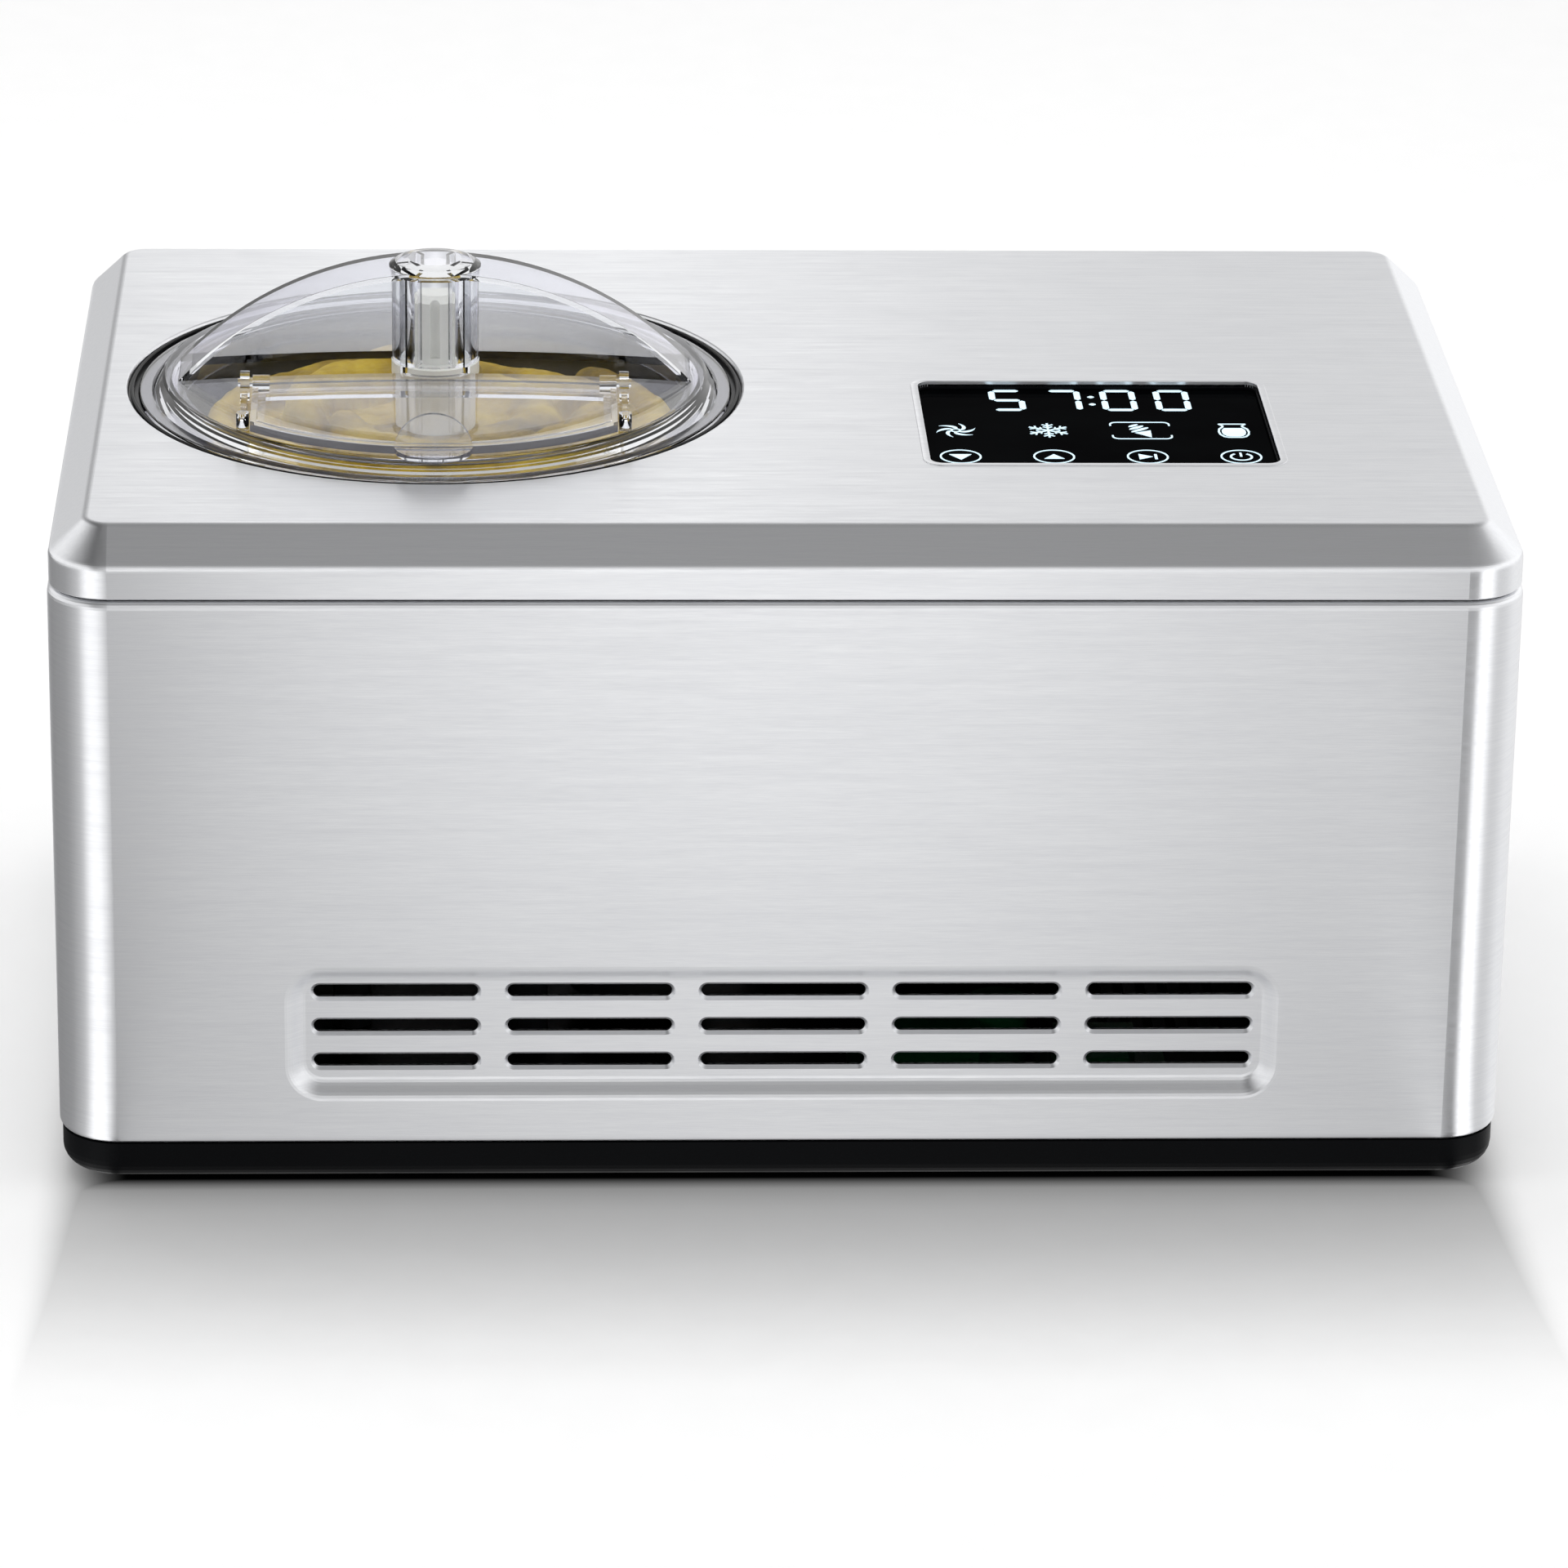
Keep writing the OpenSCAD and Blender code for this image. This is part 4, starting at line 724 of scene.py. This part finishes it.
class ICM_OT_frozen_mix(bpy.types.Operator):
    """Fills the bowl with a churned mix, folded by the paddle"""

    bl_idname = "icm.frozen_mix"
    bl_label = "Fill the bowl"

    # The mix reaches from the paddle's column to near the bowl's wall.
    COLUMN = 0.0122
    REACH = 0.0775
    STRIP = 0.01  # width of the strip whose front edge is spun into the mix's top
    FOOT = 0.002  # height of the mix's underside above the solid's
    HAIR = 0.0001  # how close a vertex has to be to a radius to be picked
    # Each fold: radius of its middle line, where it starts, how far it turns, how far below the top it
    # lies, and how much its radius grows on the way. Millimetres and degrees.
    FOLDS = ((34, 78, 120, -6.0, 6), (52, 188, 120, 2.0, 7), (28, 200, 115, -0.5, 9), (62, 296, 110, 2.5, 5),
             (25, 302, 120, 0.5, 9), (62, 105, 80, 3.5, 2), (44, 318, 62, -1.5, 6), (66, 222, 72, 4.0, 2),
             (40, 232, 48, 0.0, 3), (55, 335, 95, 1.5, -6), (44, 20, 60, 0.5, 4), (57, 262, 44, 3.0, 2))
    LEAN = 0.0016  # how much higher a fold's outer edge is than its middle
    # The bed under the folds: its depth below the top, how much deeper it lies at the wall, where its
    # sunken edge begins, how wide that is, how far it sinks, and how much less it sinks at the front
    BED = 0.005
    BED_FALL = 0.004
    EDGE_FROM = 0.045
    EDGE_WIDE = 0.033
    EDGE_SINK = 0.013
    FRONT_LESS = 0.009
    # The unevenness, coarse and fine: cells of noise in a metre, height, and place in the noise
    UNEVEN = ((70, 0.0016, 0.3), (300, 0.0005, 1.9))

    def execute(self, context):
        s = context.scene.icm_dessert
        bpy.ops.object.select_all(action="DESELECT")
        bpy.ops.mesh.primitive_grid_add(x_subdivisions=s.rings, y_subdivisions=1, size=1)
        piece = context.object
        middle = BOWL_AXIS.y + self.STRIP / 2
        piece.scale = (self.REACH - self.COLUMN, self.STRIP, 1)
        piece.location = (BOWL_AXIS.x + (self.REACH + self.COLUMN) / 2, middle, MIX[1].z)
        bpy.ops.object.transform_apply(location=True, rotation=False, scale=True)
        bpy.ops.object.mode_set(mode="EDIT")
        self.pick(piece, lambda v: v.co.y > middle)
        bpy.ops.mesh.delete(type="VERT")
        bpy.ops.mesh.select_all(action="SELECT")
        bpy.ops.mesh.spin(steps=s.spokes, angle=math.tau, center=(BOWL_AXIS.x, BOWL_AXIS.y, 0),
                          axis=(0, 0, 1))
        bpy.ops.mesh.select_all(action="SELECT")
        bpy.ops.mesh.remove_doubles(threshold=0.00001)
        self.pick(piece, lambda v: self.out(v.co) > self.REACH - self.HAIR)
        down = MIX[0].z + self.FOOT - MIX[1].z
        bpy.ops.mesh.extrude_edges_move(TRANSFORM_OT_translate={"value": (0, 0, down)})
        low = MIX[0].z + self.FOOT + MM
        self.pick(piece, lambda v: v.co.z < low)
        bpy.ops.mesh.edge_face_add()
        self.pick(piece, lambda v: self.out(v.co) < self.COLUMN + self.HAIR)
        bpy.ops.mesh.edge_face_add()
        bpy.ops.object.mode_set(mode="OBJECT")
        for v in piece.data.vertices:
            if v.co.z > low:
                v.co.z = self.height(s, v.co - BOWL_AXIS)
        alone(piece)
        bpy.ops.object.shade_smooth_by_angle(angle=math.radians(70))
        settled(piece, "churned_mix", "ice", "paddle_body")
        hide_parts("frozen_mix")
        return {"FINISHED"}

    def out(self, place):
        """Distance from the bowl's axis."""
        return math.hypot(place.x - BOWL_AXIS.x, place.y - BOWL_AXIS.y)

    def pick(self, piece, test):
        """Selects the vertices that pass a test, and the edges and faces between them."""
        bpy.ops.mesh.select_all(action="DESELECT")
        mesh = bmesh.from_edit_mesh(piece.data)
        for v in mesh.verts:
            if test(v):
                v.select = True
        mesh.select_flush(True)
        bmesh.update_edit_mesh(piece.data)

    def height(self, s, at):
        """Height of the mix's top at a place about the bowl's axis: folds that lie over each other, on a
        bed that sinks to the wall."""
        r, a = math.hypot(at.x, at.y), math.degrees(math.atan2(at.y, at.x))
        wall = max(0.0, (r - self.EDGE_FROM) / self.EDGE_WIDE)
        front = max(0.0, -at.y / max(r, MM))
        sink = (self.EDGE_SINK - self.FRONT_LESS * front) * wall * wall
        top = -self.BED - self.BED_FALL * r / self.REACH - sink
        for radius, start, sweep, drop, grow in self.FOLDS:
            turn = (a - start) % 360
            turn = min(turn, sweep) if turn < sweep / 2 + 180 else 0.0
            share = turn / sweep
            line = (radius + grow * share) * MM
            way = math.radians(start + turn)
            gap = math.hypot(at.x - line * math.cos(way), at.y - line * math.sin(way))
            wide = s.fold * (0.75 + 0.35 * math.sin(math.pi * min(1.0, share + 0.15)))
            if gap < wide:
                lean = self.LEAN * (r - line) / wide
                lift = s.rise * math.sqrt(1 - (gap / wide) ** 2) + lean
                top = max(top, -s.rise - drop * MM + lift)
        slow, fine = [noise.noise(Vector((at.x, at.y, z)) * often) * high for often, high, z in self.UNEVEN]
        return MIX[1].z + top + slow + fine


class ICM_OT_stage(bpy.types.Operator):
    """Sets the floor, the lamps and the camera"""

    bl_idname = "icm.stage"
    bl_label = "Set the stage"

    FLOOR_SIZE = 12
    # Each lamp: where it hangs, what it points at, its width and height, and its share of the power
    LAMPS = {
        "lamp_top": ((-0.15, 0.55, 1.9), (-0.02, 0.0, 0.1), (1.3, 0.9), 1.0),
        "lamp_left": ((-1.9, -0.5, 1.0), (-0.1, 0.0, 0.12), (0.9, 1.4), 0.6),
        "lamp_right": ((1.9, -0.5, 1.0), (0.1, 0.0, 0.12), (0.9, 1.4), 0.6),
    }

    # The drawn shadow: how far inside the case's sides it is measured from, how bright the floor is at a
    # distance from there to the front or the back, and the width of its fade to the left and the right
    SHADOW_INSET = 0.02
    SHADOW = ((0.012, 0.0), (0.0175, 0.44), (0.035, 0.54), (0.06, 0.62), (0.09, 0.74), (0.12, 0.87),
              (0.15, 0.97), (0.185, 1.0))
    SHADOW_FADE = 0.028
    UNDER = 0.02  # the floor counts as under the machine where the shadow is darker than this
    FLOOR_LIFT = 0.26  # light added to the floor where it is seen, also through the clear parts

    # The cards that the steel mirrors in place of the floor, and how far inside the case's sides they are
    # measured from
    CARD_INSET = 0.018
    CARD_STRENGTH = 1.55
    # Grey by the distance from the machine, in metres
    NEAR = ((0.0, 0.52), (0.12, 0.48), (0.20, 0.50), (0.34, 0.67), (0.55, 0.78))
    # Grey by the distance to the left or the right of the middle, in metres
    MIDDLE = ((0.0, 1.0), (0.06, 0.96), (0.13, 0.85), (0.21, 0.69), (0.30, 0.62))
    # Grey off the upright corners by the direction, in turns from straight ahead. The left corners have
    # the first half of the ramp and the right corners the second.
    PANEL = ((0.0, 0.50), (0.006, 0.15), (0.034, 0.15), (0.045, 0.92), (0.12, 0.92), (0.16, 0.36),
             (0.245, 0.18), (0.40, 0.16), (0.47, 0.58), (0.499, 0.58), (0.501, 0.62), (0.520, 0.50),
             (0.545, 0.10), (0.572, 0.06), (0.590, 1.0), (0.64, 1.0), (0.68, 0.42), (0.73, 0.46),
             (0.80, 0.62), (1.0, 0.58))
    BESIDE = 0.02  # the panels begin where the direction is more than this off straight ahead, in radians

    # The room that the steel mirrors: grey by how high a ray points, from level to straight up, and by how
    # far to the right it points, from full left to full right
    HIGH =((0.0, 1.0), (0.42, 0.98), (0.62, 0.72), (0.80, 0.25), (0.95, 0.235))
    WALL = ((0.0, 0.70), (0.21, 0.70), (0.27, 0.30), (0.32, 0.22), (0.42, 0.51), (0.456, 0.62),
            (0.50, 1.0), (0.545, 0.60), (0.62, 0.68), (0.68, 0.74), (1.0, 0.80))
    ROOM_STRENGTH = 1.6
    PLAIN_STRENGTH = 0.62

    def execute(self, context):
        s = context.scene.icm_stage
        scene = context.scene
        scene.view_settings.view_transform = "Standard"

        bpy.ops.object.select_all(action="DESELECT")
        bpy.ops.mesh.primitive_plane_add(size=self.FLOOR_SIZE, location=(0, 0, 0))
        floor = context.object
        floor.name = "studio_floor"
        floor.data.materials.append(self.paper())

        bpy.ops.object.camera_add(location=s.place, rotation=Euler(s.turn))
        camera = context.object
        camera.data.lens = s.lens
        camera.data.sensor_width = 36
        camera.data.clip_end = 30
        scene.camera = camera

        for name, (place, aim, size, share) in self.LAMPS.items():
            self.lamp(name, place, aim, size, s.lamp * share)
        self.world(scene)
        return {"FINISHED"}

    def lamp(self, name, place, aim, size, power):
        """A soft rectangular lamp that doesn't show in reflections."""
        turn = (Vector(aim) - Vector(place)).to_track_quat("-Z", "Y").to_euler()
        bpy.ops.object.light_add(type="AREA", location=place, rotation=turn)
        made = bpy.context.object
        made.name = name
        made.data.shape = "RECTANGLE"
        made.data.size, made.data.size_y = size
        made.data.energy = power
        made.visible_glossy = False

    def paper(self):
        """White seamless paper: flat, with a trace of fibre. It shows white with a drawn shadow. In a
        reflection it shows cards instead: bright in the middle, with dark and bright bands off the
        corners, and black under the machine."""
        made, tree, place, shader = start("seamless_paper")
        split = add(tree, "ShaderNodeSeparateXYZ", {"Vector": place})
        sides, past, shadow = {}, [], []
        for axis, half in (("X", CAD_BOX[1].x), ("Y", CAD_BOX[1].y)):
            sides[axis] = add(tree, "ShaderNodeMath", {0: split.outputs[axis]}, operation="ABSOLUTE")
            inset = add(tree, "ShaderNodeMath", {0: sides[axis], 1: half - self.CARD_INSET},
                        operation="SUBTRACT")
            past.append(add(tree, "ShaderNodeMath", {0: inset, 1: 0.0}, operation="MAXIMUM"))
            shadow.append(add(tree, "ShaderNodeMath", {0: sides[axis], 1: half - self.SHADOW_INSET},
                              operation="SUBTRACT"))

        fibre = add(tree, "ShaderNodeTexNoise", {"Vector": place, "Scale": 60.0, "Detail": 4.0})
        weave = add(tree, "ShaderNodeValToRGB", {"Fac": fibre},
                    stops=greys([(NOISE_LOW, 0.80), (NOISE_HIGH, 0.82)]))
        deep = add(tree, "ShaderNodeValToRGB", {"Fac": shadow[1]}, stops=greys(self.SHADOW))
        wide = add(tree, "ShaderNodeMapRange",
                   {"Value": shadow[0], "From Min": 0.0, "From Max": self.SHADOW_FADE, "To Min": 0.0,
                    "To Max": 1.0}, interpolation_type="SMOOTHSTEP")
        soft = add(tree, "ShaderNodeMath", {0: deep.outputs["Color"], 1: wide}, operation="MAXIMUM")
        dark = add(tree, "ShaderNodeVectorMath", {0: weave.outputs["Color"]}, operation="SCALE")
        tree.links.new(soft.outputs[0], dark.inputs["Scale"])
        tree.links.new(dark.outputs[0], shader.inputs["Base Color"])
        shader.inputs["Roughness"].default_value = 0.9
        shader.inputs["Specular IOR Level"].default_value = 0.1
        lift = add(tree, "ShaderNodeEmission", {"Color": soft, "Strength": self.FLOOR_LIFT})
        shown = add(tree, "ShaderNodeAddShader", {0: shader, 1: lift})

        reach = [add(tree, "ShaderNodeMath", {0: p, 1: p}, operation="MULTIPLY") for p in past]
        square = add(tree, "ShaderNodeMath", {0: reach[0], 1: reach[1]}, operation="ADD")
        away = add(tree, "ShaderNodeMath", {0: square}, operation="SQRT")
        near = add(tree, "ShaderNodeValToRGB", {"Fac": away}, stops=greys(self.NEAR))
        middle = add(tree, "ShaderNodeValToRGB", {"Fac": sides["X"]}, stops=greys(self.MIDDLE))
        front = self.CARD_INSET - CAD_BOX[1].y
        ahead = add(tree, "ShaderNodeMath", {0: front, 1: split.outputs["Y"]}, operation="SUBTRACT")
        turn = add(tree, "ShaderNodeMath", {0: past[0], 1: ahead}, operation="ARCTAN2")
        right = add(tree, "ShaderNodeMath", {0: split.outputs["X"], 1: 0.0}, operation="GREATER_THAN")
        part = add(tree, "ShaderNodeMath", {0: turn, 1: math.tau}, operation="DIVIDE")
        share = add(tree, "ShaderNodeMath", {0: right, 1: 0.5, 2: part}, operation="MULTIPLY_ADD")
        panel = add(tree, "ShaderNodeValToRGB", {"Fac": share}, stops=greys(self.PANEL))
        beside = add(tree, "ShaderNodeMath", {0: turn, 1: self.BESIDE}, operation="GREATER_THAN")
        card = add(tree, "ShaderNodeMath", {0: near.outputs["Color"], 1: middle.outputs["Color"]},
                   operation="MULTIPLY")
        card = add(tree, "ShaderNodeMix", {"Factor": beside, "A": card, "B": panel.outputs["Color"]})
        clear = add(tree, "ShaderNodeMath", {0: soft, 1: self.UNDER}, operation="GREATER_THAN")
        card = add(tree, "ShaderNodeMath", {0: card, 1: clear}, operation="MULTIPLY")
        cards = add(tree, "ShaderNodeEmission", {"Color": card, "Strength": self.CARD_STRENGTH})

        path = add(tree, "ShaderNodeLightPath")
        seen = add(tree, "ShaderNodeMath",
                   {0: path.outputs["Is Camera Ray"], 1: path.outputs["Is Transmission Ray"]},
                   operation="MAXIMUM")
        first = add(tree, "ShaderNodeMixShader", {"Fac": seen, 1: shader, 2: shown})
        last = add(tree, "ShaderNodeMixShader", {"Fac": path.outputs["Is Glossy Ray"], 1: first, 2: cards})
        out = next(n for n in tree.nodes if n.type == "OUTPUT_MATERIAL")
        tree.links.new(last.outputs[0], out.inputs["Surface"])
        return made

    def world(self, scene):
        """A white studio: plain light on the object and white behind it. Reflections show a room with a
        dark ceiling, walls in bands and a dimmer left side, and the clear parts show that ceiling."""
        world = bpy.data.worlds.new("studio")
        scene.world = world
        world.use_nodes = True
        tree = world.node_tree
        tree.nodes.clear()
        look = add(tree, "ShaderNodeTexCoord").outputs["Generated"]
        parts = add(tree, "ShaderNodeSeparateXYZ", {"Vector": look})
        high = add(tree, "ShaderNodeValToRGB", {"Fac": parts.outputs["Z"]}, stops=greys(self.HIGH))
        side = add(tree, "ShaderNodeMapRange",
                   {"Value": parts.outputs["X"], "From Min": -1.0, "From Max": 1.0})
        wall = add(tree, "ShaderNodeValToRGB", {"Fac": side}, stops=greys(self.WALL))
        shade = add(tree, "ShaderNodeMath", {0: high.outputs["Color"], 1: wall.outputs["Color"]},
                    operation="MULTIPLY")
        room = add(tree, "ShaderNodeBackground", {"Color": shade, "Strength": self.ROOM_STRENGTH})
        plain = add(tree, "ShaderNodeBackground", {"Color": grey(1.0), "Strength": self.PLAIN_STRENGTH})
        beyond = add(tree, "ShaderNodeBackground", {"Color": high.outputs["Color"], "Strength": 1.0})
        white = add(tree, "ShaderNodeBackground", {"Color": grey(1.0), "Strength": 1.0})
        path = add(tree, "ShaderNodeLightPath").outputs
        lit = add(tree, "ShaderNodeMixShader", {"Fac": path["Is Glossy Ray"], 1: plain, 2: room})
        through = add(tree, "ShaderNodeMixShader", {"Fac": path["Is Transmission Ray"], 1: lit, 2: beyond})
        shown = add(tree, "ShaderNodeMixShader", {"Fac": path["Is Camera Ray"], 1: through, 2: white})
        add(tree, "ShaderNodeOutputWorld", {"Surface": shown})


class ICM_PT_panel(bpy.types.Panel):
    """The ice cream maker's steps and settings"""

    bl_idname = "ICM_PT_panel"
    bl_label = "Ice cream maker"
    bl_space_type = "VIEW_3D"
    bl_region_type = "UI"
    bl_category = "Ice cream maker"

    def draw(self, context):
        for step in STEPS:
            self.layout.operator(step.bl_idname)
        for name in GROUPS:
            group = getattr(context.scene, name)
            box = self.layout.box()
            for setting in group.__annotations__:
                box.prop(group, setting)


STEPS = (ICM_OT_finish_parts, ICM_OT_window_trim, ICM_OT_time_digits, ICM_OT_status_symbols,
         ICM_OT_touch_keys, ICM_OT_frozen_mix, ICM_OT_stage)
GROUPS = {"icm_display": DisplaySettings, "icm_dessert": DessertSettings, "icm_stage": StageSettings}


def register():
    for made in (*GROUPS.values(), *STEPS, ICM_PT_panel):
        bpy.utils.register_class(made)
    for name, group in GROUPS.items():
        setattr(bpy.types.Scene, name, PointerProperty(type=group))


def unregister():
    for name in GROUPS:
        delattr(bpy.types.Scene, name)
    for made in reversed((*GROUPS.values(), *STEPS, ICM_PT_panel)):
        bpy.utils.unregister_class(made)


def main():
    register()
    for step in STEPS:
        group, name = step.bl_idname.split(".")
        getattr(getattr(bpy.ops, group), name)()


if __name__ == "__main__":
    main()
